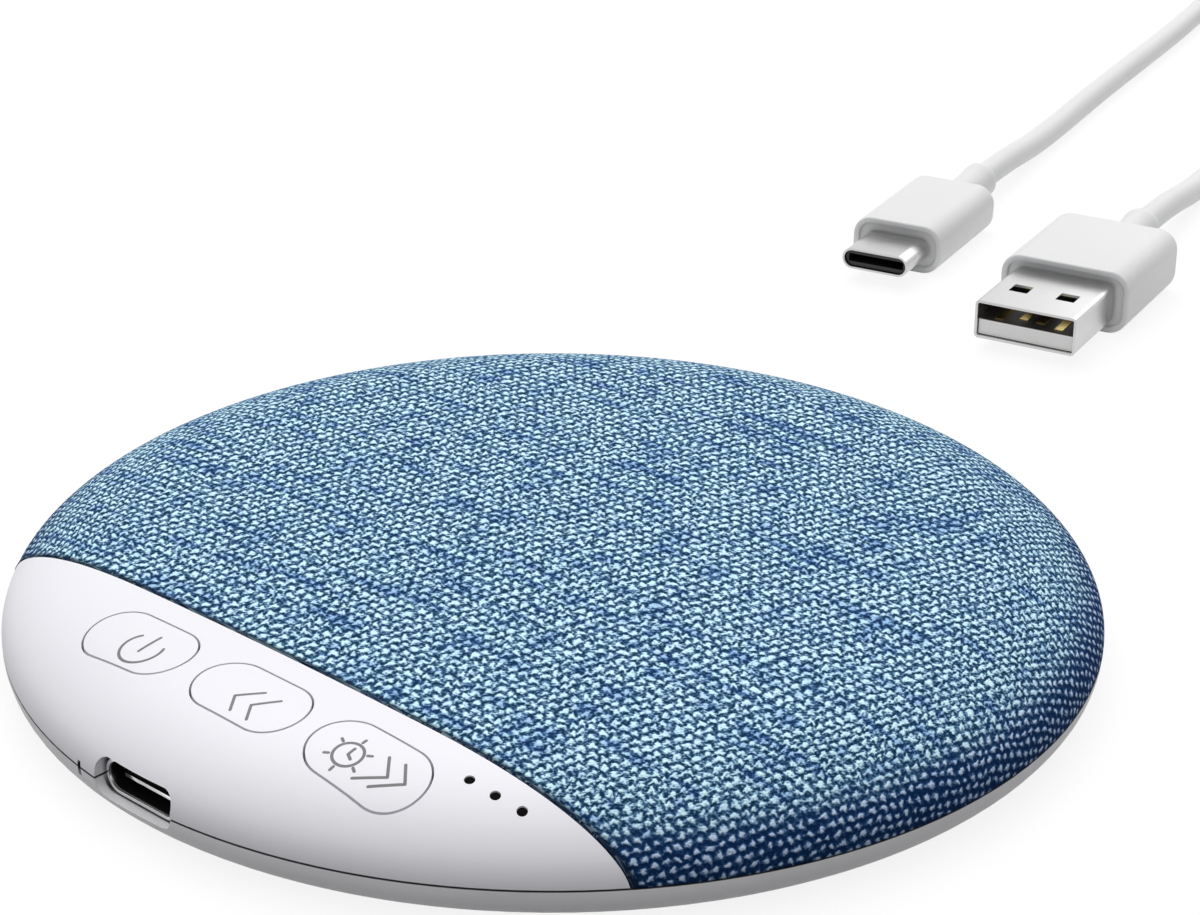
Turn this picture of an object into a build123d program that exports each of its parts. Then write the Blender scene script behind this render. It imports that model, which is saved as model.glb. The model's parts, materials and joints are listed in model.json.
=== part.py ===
from build123d import *
import os
from math import atan2, cos, degrees, pi, radians, sin, sqrt, tan

# White noise sound machine: a flat round housing with a cloth-covered grille, a plain
# control panel with three buttons and a charging port, and its charging cable.
# Millimetres. +Z is up, the panel and the port face -Y, and the origin is the middle
# of the resting plane.

# ---- Housing -------------------------------------------------------------------------
body_radius = 50.0        # outside radius of the round housing
foot_proud = 0.4          # how far the feet stand below the lower shell
lower_height = 3.5        # lower shell, from its underside to the seam
rim_land = 0.05           # upright stretch between the rounded lower edge and the seam
edge_height = 6.6         # height of the rounded upper edge above the seam
edge_run = 14.0           # how far the rounded upper edge reaches inwards
crown_slope = 3.2         # degrees, slope where the low crown meets the rounded edge
seam_gap = 0.15           # open joint line between lower shell and upper pieces
notch_x = -7.1            # small slot across the joint line
notch_rise = 0.1          # its middle above the seam
notch_width = 0.45
notch_height = 0.8
notch_depth = 1.2
plate_radius = 26.0       # shallow round recess in the underside
plate_depth = 0.2
shell_wall = 1.2          # lower shell wall and floor
lip_inset = 2.5           # outside of the locating lip, in from the housing
lip_wall = 0.8
lip_height = 1.2          # lip above the seam
lip_root = 1.5            # lip ledge below the seam

# ---- Cloth, grille and panel ---------------------------------------------------------
panel_depth = 16.8        # control panel, from the front of the housing to the cloth
panel_gap = 0.15          # joint line between panel and cloth
joint_lean = 10.2         # degrees, how the joint line leans back towards the seam
joint_drop = 1.2          # height where it has its named place, below the top
cloth_thickness = 0.6
glue_line = 0.05          # between cloth and grille
grille_wall = 1.2
panel_wall = 1.6
ledge_reach = 4.5         # panel ledge under the grille
ledge_width = 42.0
ledge_root = 2.0          # thicker stretch where the ledge leaves the panel
ledge_wall = 1.1
ledge_gap = 0.1
stake_radius = 0.8        # heat-staked pins of the grille through the ledge
stake_head_radius = 1.5
stake_head = 0.5
stake_count = 4
stake_inset = 3.0         # middle of the outer pins, in from the ledge's ends
hole_gap = 0.1            # radial gap round pins and screws in their holes
grille_hole_radius = 1.0
grille_hole_pitch = 3.1
grille_hole_rings = 5

# ---- Buttons -------------------------------------------------------------------------
button_length = 11.6
button_width = 6.4
button_gap = 0.2          # round each cap
button_setback = 10.7     # middle of the buttons, in from the front of the housing
button_places = {"power": -11.0, "previous": 3.1, "next": 16.9}
button_flange = 0.6       # width and thickness of the flange that holds a cap in
flange_gap = 0.1
button_travel = 0.3
stem_radius = 1.3
switch_side = 4.2
switch_height = 1.3
plunger_radius = 1.1
plunger_proud = 0.4
plunger_gap = 0.1
guide_thickness = 0.8
guide_width = 3.4
guide_leg = 1.2
guide_gap = 0.1

# ---- Board and what is on it ---------------------------------------------------------
board_standoff = 1.05
board_thickness = 0.8
board_edge_gap = 0.3      # between the board's round edge and the lip
board_depth = 24.4        # from the board's round edge to its straight back edge
board_screw_turn = 42.0   # degrees round from the front
board_screw_inset = 6.0   # in from the board's round edge
board_post_radius = 2.2
# Places on the board: x, and distance in from its round edge.
chips = {
    "processor_chip": {"place": (0.5, 16.9), "width": 7.0, "length": 3.9, "pins": 16, "pitch": 0.8},
    "amplifier_chip": {"place": (15.0, 17.9), "width": 4.9, "length": 3.9, "pins": 8, "pitch": 1.27},
    "memory_chip": {"place": (-9.5, 17.9), "width": 4.9, "length": 3.9, "pins": 8, "pitch": 1.27},
}
chip_height = 1.5
pin_reach = 0.8
capacitor_places = ((-31.0, 21.4), (-28.8, 21.4), (-14.5, 13.2), (-9.0, 13.2), (14.0, 13.2), (28.8, 21.4),
                    (31.0, 21.4))
capacitor_size = (1.2, 2.0, 0.9)
inductor_place = (-18.5, 14.4)
inductor_side = 4.0
inductor_height = 1.8
connector_places = {"battery": (-22.5, 21.2), "speaker": (6.5, 21.2)}
connector_size = (4.2, 4.0, 1.6)

# ---- Charging port -------------------------------------------------------------------
port_width = 8.94
port_height = 3.26
port_wall = 0.3
port_length = 6.4
port_recess = 1.3         # mouth, in from the front of the housing
port_sink = 0.83          # how deep the port sits in a cut-out of the board
port_board_gap = 0.12
port_tab = (1.4, 3.0, 0.3)        # tab that lies on the board: width, depth, thickness
port_side_gap = 0.3
port_top_gap = 0.12
port_corner = 1.3         # corner radius of the opening in the housing
port_reach = 6.0          # how far in the opening is cut
tongue_width = 6.69
tongue_thickness = 0.7
tongue_recess = 0.9       # tongue tip behind the mouth
port_block = 2.0          # depth of the moulding that closes the port's back
contact_count = 12
contact_pitch = 0.5
contact_width = 0.25
contact_proud = 0.06

# ---- Indicator lights ----------------------------------------------------------------
# Degrees round from the front, and distance in from the rim.
light_hole_places = ((34.57, 6.65), (37.46, 5.3), (40.24, 4.02))
light_hole_radius = 0.45
light_pin_gap = 0.03
light_pin_recess = 0.12
light_guide_height = 1.4
led_pitch = 2.2

# ---- Speaker -------------------------------------------------------------------------
speaker_radius = 18.0
speaker_height = 5.0
speaker_rim = 1.6         # width of the basket's glued rim
basket_sheet = 0.6
seat_drop = 2.5           # underside of the speaker seat, below the top of the housing
gasket_thickness = 0.5
yoke_radius = 8.0
yoke_height = 2.8
yoke_wall = 1.0
magnet_radius = 5.8
magnet_height = 1.2
pole_height = 0.6
coil_radius = 6.15        # inside of the voice coil
coil_wall = 0.4
coil_height = 1.7
cone_sheet = 0.3
cone_radius = 13.4
cone_rise = 0.8
dust_cap_rise = 0.8
surround_roll = 0.6
surround_glue = 0.6       # width glued to the cone and to the rim
seat_margin = 0.6         # speaker seat beyond the basket's rim
speaker_travel = 0.4
terminal_size = (5.0, 2.8, 0.8)
terminal_x = 3.5
terminal_y = -14.6

# ---- Battery -------------------------------------------------------------------------
battery_length = 36.0
battery_width = 17.5
battery_height = 4.0
battery_setback = 19.8    # middle of the cell, in from the back of the housing
battery_board_inset = 1.5 # protection board, in from the cell's long sides
tape_thickness = 0.4

# ---- Screws and feet -----------------------------------------------------------------
screw_inset = 9.5         # case screws, in from the rim
screw_board_gap = 1.5     # between the board's back edge and the front screws' posts
rear_screw_turn = 45.0    # degrees round from the back
screw_head_radius = 1.7
screw_head = 1.0
screw_radius = 0.85
screw_bite = 0.02         # radial gap left for the thread
case_screw_length = 5.0
board_screw_length = 2.3
screw_post_wall = 1.2
screw_ledge = 0.8         # plastic under a case screw's head
boss_radius = 2.3
boss_gap = 0.1
foot_radius = 4.0
foot_recess = 0.6
foot_gap = 0.1

# ---- Inside leads --------------------------------------------------------------------
lead_radius = 0.45
lead_pitch = 1.25         # between the two leads of a pair

# ---- Charging cable ------------------------------------------------------------------
cord_radius = 1.6
c_shell = (8.34, 2.56, 6.65)      # width, thickness, length of the small plug's shell
c_shell_wall = 0.25
c_body = (11.4, 6.0, 18.0)        # width, thickness, length
c_place = (-38.0, 113.7)          # back of the body
c_heading = 104.3                 # degrees, from plug to cord
a_shell = (12.0, 4.5, 12.0)
a_shell_wall = 0.3
a_corner = 0.5
a_body = (15.6, 7.5, 17.0)
a_place = (-12.6, 111.6)
a_heading = 103.3
a_blade = 1.9             # thickness of the large plug's contact blade
insert_gap = 0.08         # between a plug's moulding and its shell
a_window = 2.2
a_window_pitch = 5.6
a_window_back = 6.4               # window middle, from the front of the body
plug_round = 2.4
relief_radius = 2.3       # at its end
relief_root = 1.95        # where it leaves the plug's body
relief_length = 9.5
coil_center = (-50.0, 236.0)
coil_turn_radius = 17.0           # middle of the coil's turns
tie_width = 5.0
tie_wall = 0.5
tie_gap = 0.3

# ---- Derived places ------------------------------------------------------------------
z_base = foot_proud
z_seam = z_base + lower_height
lower_round = lower_height - seam_gap - rim_land
z_floor = z_base + shell_wall
board_top = z_floor + board_standoff + board_thickness
board_under = board_top - board_thickness
port_z = board_top + port_height / 2 - port_sink
button_y = button_setback - body_radius
port_mouth = body_radius - port_recess
battery_y = body_radius - battery_setback
chord_y = panel_depth - body_radius
panel_edge = chord_y - panel_gap / 2
cloth_edge = chord_y + panel_gap / 2
grille_edge = cloth_edge + cloth_thickness + glue_line
grille_inset = cloth_thickness + glue_line
grille_inner = grille_inset + grille_wall
ledge_top = grille_inner + ledge_gap
ledge_under = ledge_top + ledge_wall
stake_span = ledge_width - 2 * stake_inset
stake_places = [stake_span * (number / (stake_count - 1) - 0.5) for number in range(stake_count)]
flange_top = panel_wall + flange_gap
flange_under = flange_top + button_flange
switch_top = board_top + switch_height
plunger_top = switch_top + plunger_proud
lip_radius = body_radius - lip_inset
board_radius = lip_radius - lip_wall - board_edge_gap
board_back = board_depth - board_radius
screw_post_radius = screw_head_radius + hole_gap + screw_post_wall
foot_top = z_base + foot_recess
screw_seat = foot_top + screw_head + 0.2
post_top = screw_seat + screw_ledge
boss_bottom = post_top + boss_gap
screw_end = screw_seat + case_screw_length + 0.4
far = 2 * body_radius     # reach of the blocks that cut the housing


def round_from_front(turn, reach):
    """Point of the plan at a number of degrees round from the front."""
    return reach * sin(radians(turn)), -reach * cos(radians(turn))


def on_board(place):
    return place[0], place[1] - board_radius


def screw_places():
    """Two case screws behind the board and two beside the battery."""
    reach = body_radius - screw_inset
    front_y = board_back + screw_post_radius + screw_board_gap
    front_x = sqrt(reach ** 2 - front_y ** 2)
    rear = [round_from_front(180 + side * rear_screw_turn, reach) for side in (1, -1)]
    return [(-front_x, front_y), (front_x, front_y)] + rear


case_screw_places = screw_places()
board_screw_reach = board_radius - board_screw_inset
board_screw_places = [round_from_front(side * board_screw_turn, board_screw_reach) for side in (-1, 1)]
light_holes = [round_from_front(turn, body_radius - inset) for turn, inset in light_hole_places]


def shoulder(inset):
    """Where the low crown meets the rounded edge, for a surface set in by inset."""
    run, rise = edge_run - inset, edge_height - inset
    angle = atan2(rise, run * tan(radians(crown_slope)))
    across = body_radius - edge_run + run * cos(angle)
    return across, z_seam + rise * sin(angle), angle


def crown_top(inset):
    across, height, _ = shoulder(inset)
    return height + across * tan(radians(crown_slope) / 2)


z_top = crown_top(0)
seat_under = z_top - seat_drop


def spun(section):
    """Solid of revolution about Z of a flat section drawn as (radius, height)."""
    return revolve(Plane.XZ * section, Axis.Z)


def patch(radii, heights):
    """Rectangle of a section, between two radii and two heights."""
    middle = Pos((radii[0] + radii[1]) / 2, (heights[0] + heights[1]) / 2)
    return middle * Rectangle(radii[1] - radii[0], heights[1] - heights[0])


def dome_section(inset, low=None):
    """Section of all that lies under the top surface set in by inset, down to low."""
    low = z_seam if low is None else low
    run, rise = edge_run - inset, edge_height - inset
    across, height, angle = shoulder(inset)
    top = crown_top(inset)
    slope = radians(crown_slope)
    crown_radius = across / sin(slope)
    middle = (crown_radius * sin(slope / 2), top - crown_radius * (1 - cos(slope / 2)))
    side = body_radius - inset
    edge = EllipticalCenterArc((body_radius - edge_run, z_seam), run, rise, arc_size=degrees(angle))
    crown = ThreePointArc((across, height), middle, (0, top))
    rest = [Line((0, top), (0, low)), Line((0, low), (side, low))]
    if low < z_seam:
        rest.append(Line((side, low), (side, z_seam)))
    return make_face(edge + crown + rest)


def dome(inset, low=None):
    return spun(dome_section(inset, low))


def dome_shell(outer, inner):
    """Skin between two insets from the top surface, open at the seam."""
    return spun(dome_section(outer) - dome_section(inner, z_seam - 1))


def tray_section(inset, top):
    """Section of all that lies inside the lower shell's outline set in by inset."""
    bend = lower_round - inset
    bottom = z_base + inset
    inner, side = body_radius - lower_round, body_radius - inset
    spring = z_base + lower_round
    corner = CenterArc((inner, spring), bend, -90, 90)
    rest = Polyline((side, spring), (side, top), (0, top), (0, bottom), (inner, bottom))
    return make_face(corner + rest)


def disc(radius, low, high, place=(0, 0)):
    return Pos(place[0], place[1], (low + high) / 2) * Cylinder(radius, high - low)


def ring(inner, outer, low, high, place=(0, 0)):
    return disc(outer, low, high, place) - disc(inner, low, high, place)


def block(x_range, y_range, z_range):
    size = [high - low for low, high in (x_range, y_range, z_range)]
    middle = [(high + low) / 2 for low, high in (x_range, y_range, z_range)]
    return Pos(*middle) * Box(*size)


def beyond(y_low, y_high):
    """A block across the whole housing between two values of y."""
    return block((-far, far), (y_low, y_high), (-far, far))


def before_joint(y):
    """All that lies in front of the leaning joint line moved to a value of y."""
    return Pos(0, y, z_top - joint_drop) * Rot(joint_lean, 0, 0) * beyond(-2 * far, 0)


def behind_joint(y):
    return Pos(0, y, z_top - joint_drop) * Rot(joint_lean, 0, 0) * beyond(0, 2 * far)


def slot(length, width, low, high, place):
    return Pos(place[0], place[1], low) * extrude(SlotOverall(length, width), high - low)


def button_prism(place, margin):
    """Upright bar in a button's outline grown by margin."""
    length, width = button_length + 2 * margin, button_width + 2 * margin
    return slot(length, width, z_seam, z_top + 1, (place, button_y))


def port_prism(width, height, corner, y_front, y_back):
    """Rounded bar along +Y in the port's place."""
    section = Plane((0, y_front, port_z), x_dir=(-1, 0, 0), z_dir=(0, 1, 0))
    return section * extrude(RectangleRounded(width, height, corner), y_back - y_front)


def group(solids):
    return Compound(children=[solid for item in solids for solid in item.solids()])


# ---- Casing --------------------------------------------------------------------------
def port_opening():
    return port_prism(port_width + 2 * port_side_gap, port_height + 2 * port_top_gap, port_corner,
                      -body_radius - 1, -body_radius + port_reach)


def seam_notch():
    """Small slot across the joint line, where a blade opens the housing."""
    middle = Pos(notch_x, -body_radius, z_seam + notch_rise)
    return middle * Box(notch_width, 2 * notch_depth, notch_height)


def make_lower_shell():
    rim = z_seam - seam_gap
    lip_inner = lip_radius - lip_wall
    outside = tray_section(0, rim)
    section = outside - tray_section(shell_wall, rim + 1)
    section += patch((lip_inner, body_radius - shell_wall / 2), (z_seam - lip_root, rim)) & outside
    section += patch((lip_inner, lip_radius), (z_seam - lip_root, z_seam + lip_height))
    section -= patch((0, plate_radius), (z_base - 1, z_base + plate_depth))
    shell = spun(section)
    for place in case_screw_places:
        shell += disc(screw_post_radius, z_floor - 0.2, post_top, place)
        shell -= disc(screw_post_radius - screw_post_wall, z_base, screw_seat, place)
        shell -= disc(screw_radius + hole_gap, z_base, post_top + 1, place)
        shell -= disc(foot_radius + foot_gap, z_base - 1, foot_top, place)
    for place in board_screw_places:
        shell += disc(board_post_radius, z_floor - 0.2, board_under, place)
        shell -= disc(screw_radius + screw_bite, z_floor - 0.6, board_under + 1, place)
    half = port_width / 2 + port_side_gap
    shell -= block((-half, half), (shell_wall - body_radius, port_reach - body_radius),
                   (z_seam - lip_root - 0.1, z_top))
    return shell - port_opening() - seam_notch()


def grille_hole_places():
    places = [(0, 0)]
    for number in range(1, grille_hole_rings + 1):
        count = 6 * number
        reach = number * grille_hole_pitch
        for step in range(count):
            turn = 2 * pi * step / count
            places.append((reach * cos(turn), reach * sin(turn)))
    return places


def make_grille_frame():
    seat = patch((speaker_radius - speaker_rim, speaker_radius + seat_margin), (seat_under, z_top))
    section = dome_section(grille_inset) - dome_section(grille_inner, z_seam - 1)
    section += seat & dome_section(grille_inset + grille_wall / 2)
    frame = spun(section) & behind_joint(grille_edge)
    inside_grille = dome(grille_inset + grille_wall / 2, z_base)
    for place in case_screw_places:
        frame += disc(boss_radius, boss_bottom, z_top, place) & inside_grille
        frame -= disc(screw_radius + screw_bite, boss_bottom - 1, screw_end, place)
    pin_y = grille_edge + ledge_reach / 2
    for place in stake_places:
        frame += make_stake((place, pin_y)) & inside_grille
    hole = disc(grille_hole_radius, z_seam, z_top + 1)
    return frame - [Pos(x, y, 0) * hole for x, y in grille_hole_places()]


def ledge_height(place):
    """Underside of the panel's ledge over a point of the plan."""
    across = sqrt(place[0] ** 2 + place[1] ** 2)
    reach, height, _ = shoulder(ledge_under)
    if across < reach:
        return height + (reach - across) * tan(radians(crown_slope) / 2)
    run, rise = edge_run - ledge_under, edge_height - ledge_under
    return z_seam + rise * sqrt(1 - ((across - body_radius + edge_run) / run) ** 2)


def make_stake(place):
    under = ledge_height(place) - 0.3
    return disc(stake_radius, under, z_top, place) + disc(stake_head_radius, under - stake_head, under, place)


def make_fabric_cover():
    skin = dome_shell(0, cloth_thickness) & behind_joint(cloth_edge)
    strip = behind_joint(cloth_edge) & before_joint(cloth_edge + cloth_thickness)
    return skin + (dome_shell(0, grille_inner) & strip)


def make_control_panel():
    panel = dome_shell(0, panel_wall) & before_joint(panel_edge)
    sides = (-ledge_width / 2, ledge_width / 2)
    above_lip = (z_seam + lip_height, far)
    root = block(sides, (panel_edge - ledge_root, panel_edge), above_lip)
    tongue = block(sides, (panel_edge - ledge_root / 2, grille_edge + ledge_reach), above_lip)
    panel += root & dome_shell(panel_wall / 2, ledge_under)
    panel += tongue & dome_shell(ledge_top, ledge_under)
    pin_y = grille_edge + ledge_reach / 2
    for place in stake_places:
        panel -= disc(stake_radius + hole_gap, z_seam, z_top, (place, pin_y))
    for place in button_places.values():
        panel -= button_prism(place, button_gap)
        panel -= button_prism(place, button_flange + 2 * button_gap) & dome(panel_wall)
    for place in light_holes:
        panel -= disc(light_hole_radius, z_seam, z_top + 1, place)
    return panel - port_opening() - seam_notch()


# ---- Buttons -------------------------------------------------------------------------
def make_button(place):
    """Cap flush with the panel, a flange that holds it in and a stem to its switch."""
    outline = button_prism(place, 0)
    inside_lip = disc(lip_radius - lip_wall - button_gap, z_seam, z_top + 1)
    cap = outline & dome_shell(0, panel_wall)
    neck = outline & dome_shell(panel_wall / 2, flange_under) & inside_lip
    flange = button_prism(place, button_flange) & dome_shell(flange_top, flange_under) & inside_lip
    stem = disc(stem_radius, plunger_top, z_top, (place, button_y))
    stem &= dome(flange_top + button_flange / 2, z_base)
    return cap + neck + flange + stem


def make_plunger(place):
    low = board_top + button_travel + 0.4
    return disc(plunger_radius, low, plunger_top, (place, button_y))


def make_switch_body(place):
    half = switch_side / 2
    body = block((place - half, place + half), (button_y - half, button_y + half), (board_top, switch_top))
    body = chamfer(body.edges().filter_by(Axis.Z), 0.4)
    return body - disc(plunger_radius + plunger_gap, board_top + 0.3, switch_top + 1, (place, button_y))


def make_button_guide():
    low = switch_top + 0.1
    first, last = min(button_places.values()), max(button_places.values())
    reach = switch_side / 2 + 0.4 + guide_leg
    y_range = (button_y - guide_width / 2, button_y + guide_width / 2)
    guide = block((first - reach, last + reach), y_range, (low, low + guide_thickness))
    places = sorted(button_places.values())
    legs = [first - reach + guide_leg / 2, last + reach - guide_leg / 2]
    legs += [(one + other) / 2 for one, other in zip(places, places[1:])]
    for leg in legs:
        guide += block((leg - guide_leg / 2, leg + guide_leg / 2), y_range, (board_top, low + 0.1))
    for place in places:
        guide -= disc(stem_radius + guide_gap, low - 1, low + guide_thickness + 1, (place, button_y))
    return guide


# ---- Board ---------------------------------------------------------------------------
def make_main_board():
    board = disc(board_radius, board_under, board_top)
    board &= beyond(-far, board_back)
    half = port_width / 2 + port_board_gap
    board -= block((-half, half), (-far, port_length + port_board_gap - port_mouth),
                   (board_under - 1, board_top + 1))
    for place in board_screw_places:
        board -= disc(screw_radius + hole_gap, board_under - 1, board_top + 1, place)
    return board


def make_chip(place, width, length, pins, pitch):
    """A chip body along X with pins on its two long sides."""
    middle_x, middle_y = on_board(place)
    x_range = (middle_x - width / 2, middle_x + width / 2)
    y_range = (middle_y - length / 2, middle_y + length / 2)
    chip = block(x_range, y_range, (board_top + 0.1, board_top + chip_height))
    chip = chamfer(chip.faces().sort_by(Axis.Z)[-1].edges(), 0.15)
    row = round(pins / 2)
    for number in range(row):
        x = middle_x + (number - (row - 1) / 2) * pitch
        chip += block((x - 0.2, x + 0.2), (y_range[0] - pin_reach, y_range[1] + pin_reach),
                      (board_top, board_top + 0.25))
    return chip


def make_capacitors():
    half_x, half_y = capacitor_size[0] / 2, capacitor_size[1] / 2
    heights = (board_top, board_top + capacitor_size[2])
    places = [on_board(place) for place in capacitor_places]
    return group([block((x - half_x, x + half_x), (y - half_y, y + half_y), heights) for x, y in places])


def make_inductor():
    x, y = on_board(inductor_place)
    half = inductor_side / 2
    coil = block((x - half, x + half), (y - half, y + half), (board_top, board_top + inductor_height))
    return chamfer(coil.edges().filter_by(Axis.Z), 0.8)


def make_connector(place):
    x, y = on_board(place)
    half = connector_size[0] / 2
    y_low, y_high = y - connector_size[1] / 2, y + connector_size[1] / 2
    top = board_top + connector_size[2]
    header = block((x - half, x + half), (y_low, y_high), (board_top, top))
    for side in (-1, 1):
        header -= disc(0.3, board_top + 0.6, top + 1, (x + side * lead_pitch / 2, y_low + 1.0))
    return header


# ---- Charging port -------------------------------------------------------------------
def port_section(inset, y_front, y_back):
    height = port_height - 2 * inset
    return port_prism(port_width - 2 * inset, height, height / 2 - 0.01, y_front, y_back)


def make_port_shell():
    front, back = -port_mouth, -port_mouth + port_length
    shell = port_section(0, front, back)
    inner, outer = port_width / 2 - port_wall - 0.05, port_width / 2 + port_tab[0]
    for x_range in ((-outer, -inner), (inner, outer)):
        shell += block(x_range, (back - 0.2 - port_tab[1], back - 0.2), (board_top, board_top + port_tab[2]))
    return shell - port_section(port_wall, front - 1, back + 1)


def make_port_tongue():
    front, back = -port_mouth, -port_mouth + port_length
    base = port_section(port_wall + 0.02, back - port_block, back)
    half = tongue_width / 2
    blade = block((-half, half), (front + tongue_recess, back - port_block + 0.1),
                  (port_z - tongue_thickness / 2, port_z + tongue_thickness / 2))
    return base + blade


def make_port_contacts():
    front = -port_mouth + tongue_recess + 0.5
    back = -port_mouth + port_length - port_block - 0.1
    face = tongue_thickness / 2
    contacts = []
    for number in range(contact_count):
        x = (number - (contact_count - 1) / 2) * contact_pitch
        x_range = (x - contact_width / 2, x + contact_width / 2)
        contacts.append(block(x_range, (front, back), (port_z + face, port_z + face + contact_proud)))
        contacts.append(block(x_range, (front, back), (port_z - face - contact_proud, port_z - face)))
    return group(contacts)


# ---- Indicator lights ----------------------------------------------------------------
def led_places():
    middle_x = sum(x for x, _ in light_holes) / len(light_holes) - 1.0
    middle_y = sum(y for _, y in light_holes) / len(light_holes) + 1.0
    return [(middle_x + step * led_pitch, middle_y + step * 0.4) for step in (-1, 0, 1)]


def make_leds():
    return group([block((x - 0.4, x + 0.4), (y - 0.8, y + 0.8), (board_top, board_top + 0.6))
                  for x, y in led_places()])


def make_light_guide():
    xs = [x for x, _ in light_holes]
    ys = [y for _, y in light_holes]
    low = z_seam + lip_height + 0.2
    bar = block((min(xs) - 1.2, max(xs) + 1.0), (min(ys) - 0.8, max(ys) + 1.6), (low, z_top))
    bar &= dome(panel_wall + 0.05) & disc(lip_radius - lip_wall - 0.1, low, z_top)
    bar -= dome(panel_wall + 0.05 + light_guide_height, z_base)
    spots = led_places()
    foot_x = (spots[0][0] - 0.7, spots[-1][0] + 0.7)
    foot_y = (spots[0][1] - 0.9, spots[-1][1] + 0.5)
    foot = block(foot_x, foot_y, (board_top + 0.7, z_top))
    foot &= dome(panel_wall + 0.05 + light_guide_height / 2, z_base)
    guide = bar + foot
    for place in light_holes:
        pin = disc(light_hole_radius - light_pin_gap, low + 0.6, z_top, place)
        guide += pin & dome(light_pin_recess)
    return guide


# ---- Speaker -------------------------------------------------------------------------
speaker_rim_top = seat_under - gasket_thickness
speaker_bottom = speaker_rim_top - speaker_height
yoke_top = speaker_bottom + yoke_height
coil_top = yoke_top + speaker_travel + 0.2
coil_low = coil_top - coil_height


def make_basket():
    """Pressed sheet: a flat rim, a sloping wall and a ring that carries the yoke."""
    rim_low = speaker_rim_top - basket_sheet
    neck = yoke_radius + 0.05
    foot_low = yoke_top - basket_sheet
    inner = speaker_radius - speaker_rim
    outline = Polyline((speaker_radius, speaker_rim_top), (inner, speaker_rim_top), (inner - 1.2, yoke_top),
                       (neck, yoke_top), (neck, foot_low), (inner - 0.7, foot_low), (inner + 0.4, rim_low),
                       (speaker_radius, rim_low), close=True)
    return spun(make_face(outline))


def make_yoke():
    cup = disc(yoke_radius, speaker_bottom, yoke_top)
    return cup - disc(yoke_radius - yoke_wall, speaker_bottom + yoke_wall, yoke_top + 1)


def make_magnet():
    low = speaker_bottom + yoke_wall
    return disc(magnet_radius, low, low + magnet_height)


def make_pole_plate():
    low = speaker_bottom + yoke_wall + magnet_height
    return disc(magnet_radius, low, low + pole_height)


def make_voice_coil():
    return ring(coil_radius, coil_radius + coil_wall, coil_low, coil_top)


def make_cone():
    edge = coil_top + cone_rise
    outline = Polyline((coil_radius, coil_top), (cone_radius, edge), (cone_radius, edge + cone_sheet),
                       (coil_radius, coil_top + cone_sheet), close=True)
    return spun(make_face(outline))


def cap_section(reach, rise, low):
    """Section of a shallow spherical cap."""
    radius = (reach ** 2 + rise ** 2) / (2 * rise)
    half = atan2(reach, radius - rise) / 2
    top = low + rise
    arc = ThreePointArc((reach, low), (radius * sin(half), top - radius * (1 - cos(half))), (0, top))
    return make_face(arc + Polyline((0, top), (0, low), (reach, low)))


def make_dust_cap():
    reach = coil_radius + coil_wall
    low = coil_top + cone_sheet + cone_rise * coil_wall / (cone_radius - coil_radius)
    hollow = cap_section(reach - cone_sheet, dust_cap_rise - cone_sheet, low)
    return spun(cap_section(reach, dust_cap_rise, low) - hollow)


def make_surround():
    """Half-roll rubber edge from the cone to the basket's rim."""
    inner_z = coil_top + cone_rise + cone_sheet
    outer_z = speaker_rim_top
    sheet = cone_sheet
    start, end = cone_radius - surround_glue, speaker_radius - speaker_rim + surround_glue
    roll_in, roll_out = cone_radius + 0.1, speaker_radius - speaker_rim - 0.1
    middle = (roll_in + roll_out) / 2
    crest = inner_z + surround_roll
    over = ThreePointArc((roll_in, inner_z + sheet), (middle, crest + sheet), (roll_out, outer_z + sheet))
    under = ThreePointArc((roll_out - sheet, outer_z), (middle, crest), (roll_in + sheet, inner_z))
    outer = Polyline((roll_out, outer_z + sheet), (end, outer_z + sheet), (end, outer_z),
                     (roll_out - sheet, outer_z))
    inner = Polyline((roll_in + sheet, inner_z), (start, inner_z), (start, inner_z + sheet),
                     (roll_in, inner_z + sheet))
    return spun(make_face(over + outer + under + inner))


def make_gasket():
    return ring(speaker_radius - speaker_rim + surround_glue + 0.1, speaker_radius, speaker_rim_top, seat_under)


def make_terminals():
    """Small solder board glued under the basket's floor."""
    top = yoke_top - basket_sheet
    half = terminal_size[0] / 2
    return block((terminal_x - half, terminal_x + half), (terminal_y, terminal_y + terminal_size[1]),
                 (top - terminal_size[2], top))


# ---- Battery -------------------------------------------------------------------------
def make_battery_tape():
    half_x, half_y = battery_length / 2 - 3, battery_width / 2 - 2
    heights = (z_floor, z_floor + tape_thickness)
    return block((-half_x, half_x), (battery_y - half_y, battery_y + half_y), heights)


def make_battery_cell():
    half_x, half_y = battery_length / 2, battery_width / 2
    heights = (z_floor + tape_thickness, z_floor + tape_thickness + battery_height)
    cell = block((-half_x, half_x), (battery_y - half_y, battery_y + half_y), heights)
    return fillet(cell.edges().filter_by(Axis.X), 1.2)


def make_battery_board():
    x_low = -battery_length / 2 - 2.6
    low = z_floor + tape_thickness
    half_y = battery_width / 2 - battery_board_inset
    return block((x_low, -battery_length / 2), (battery_y - half_y, battery_y + half_y), (low, low + 2.4))


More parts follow.
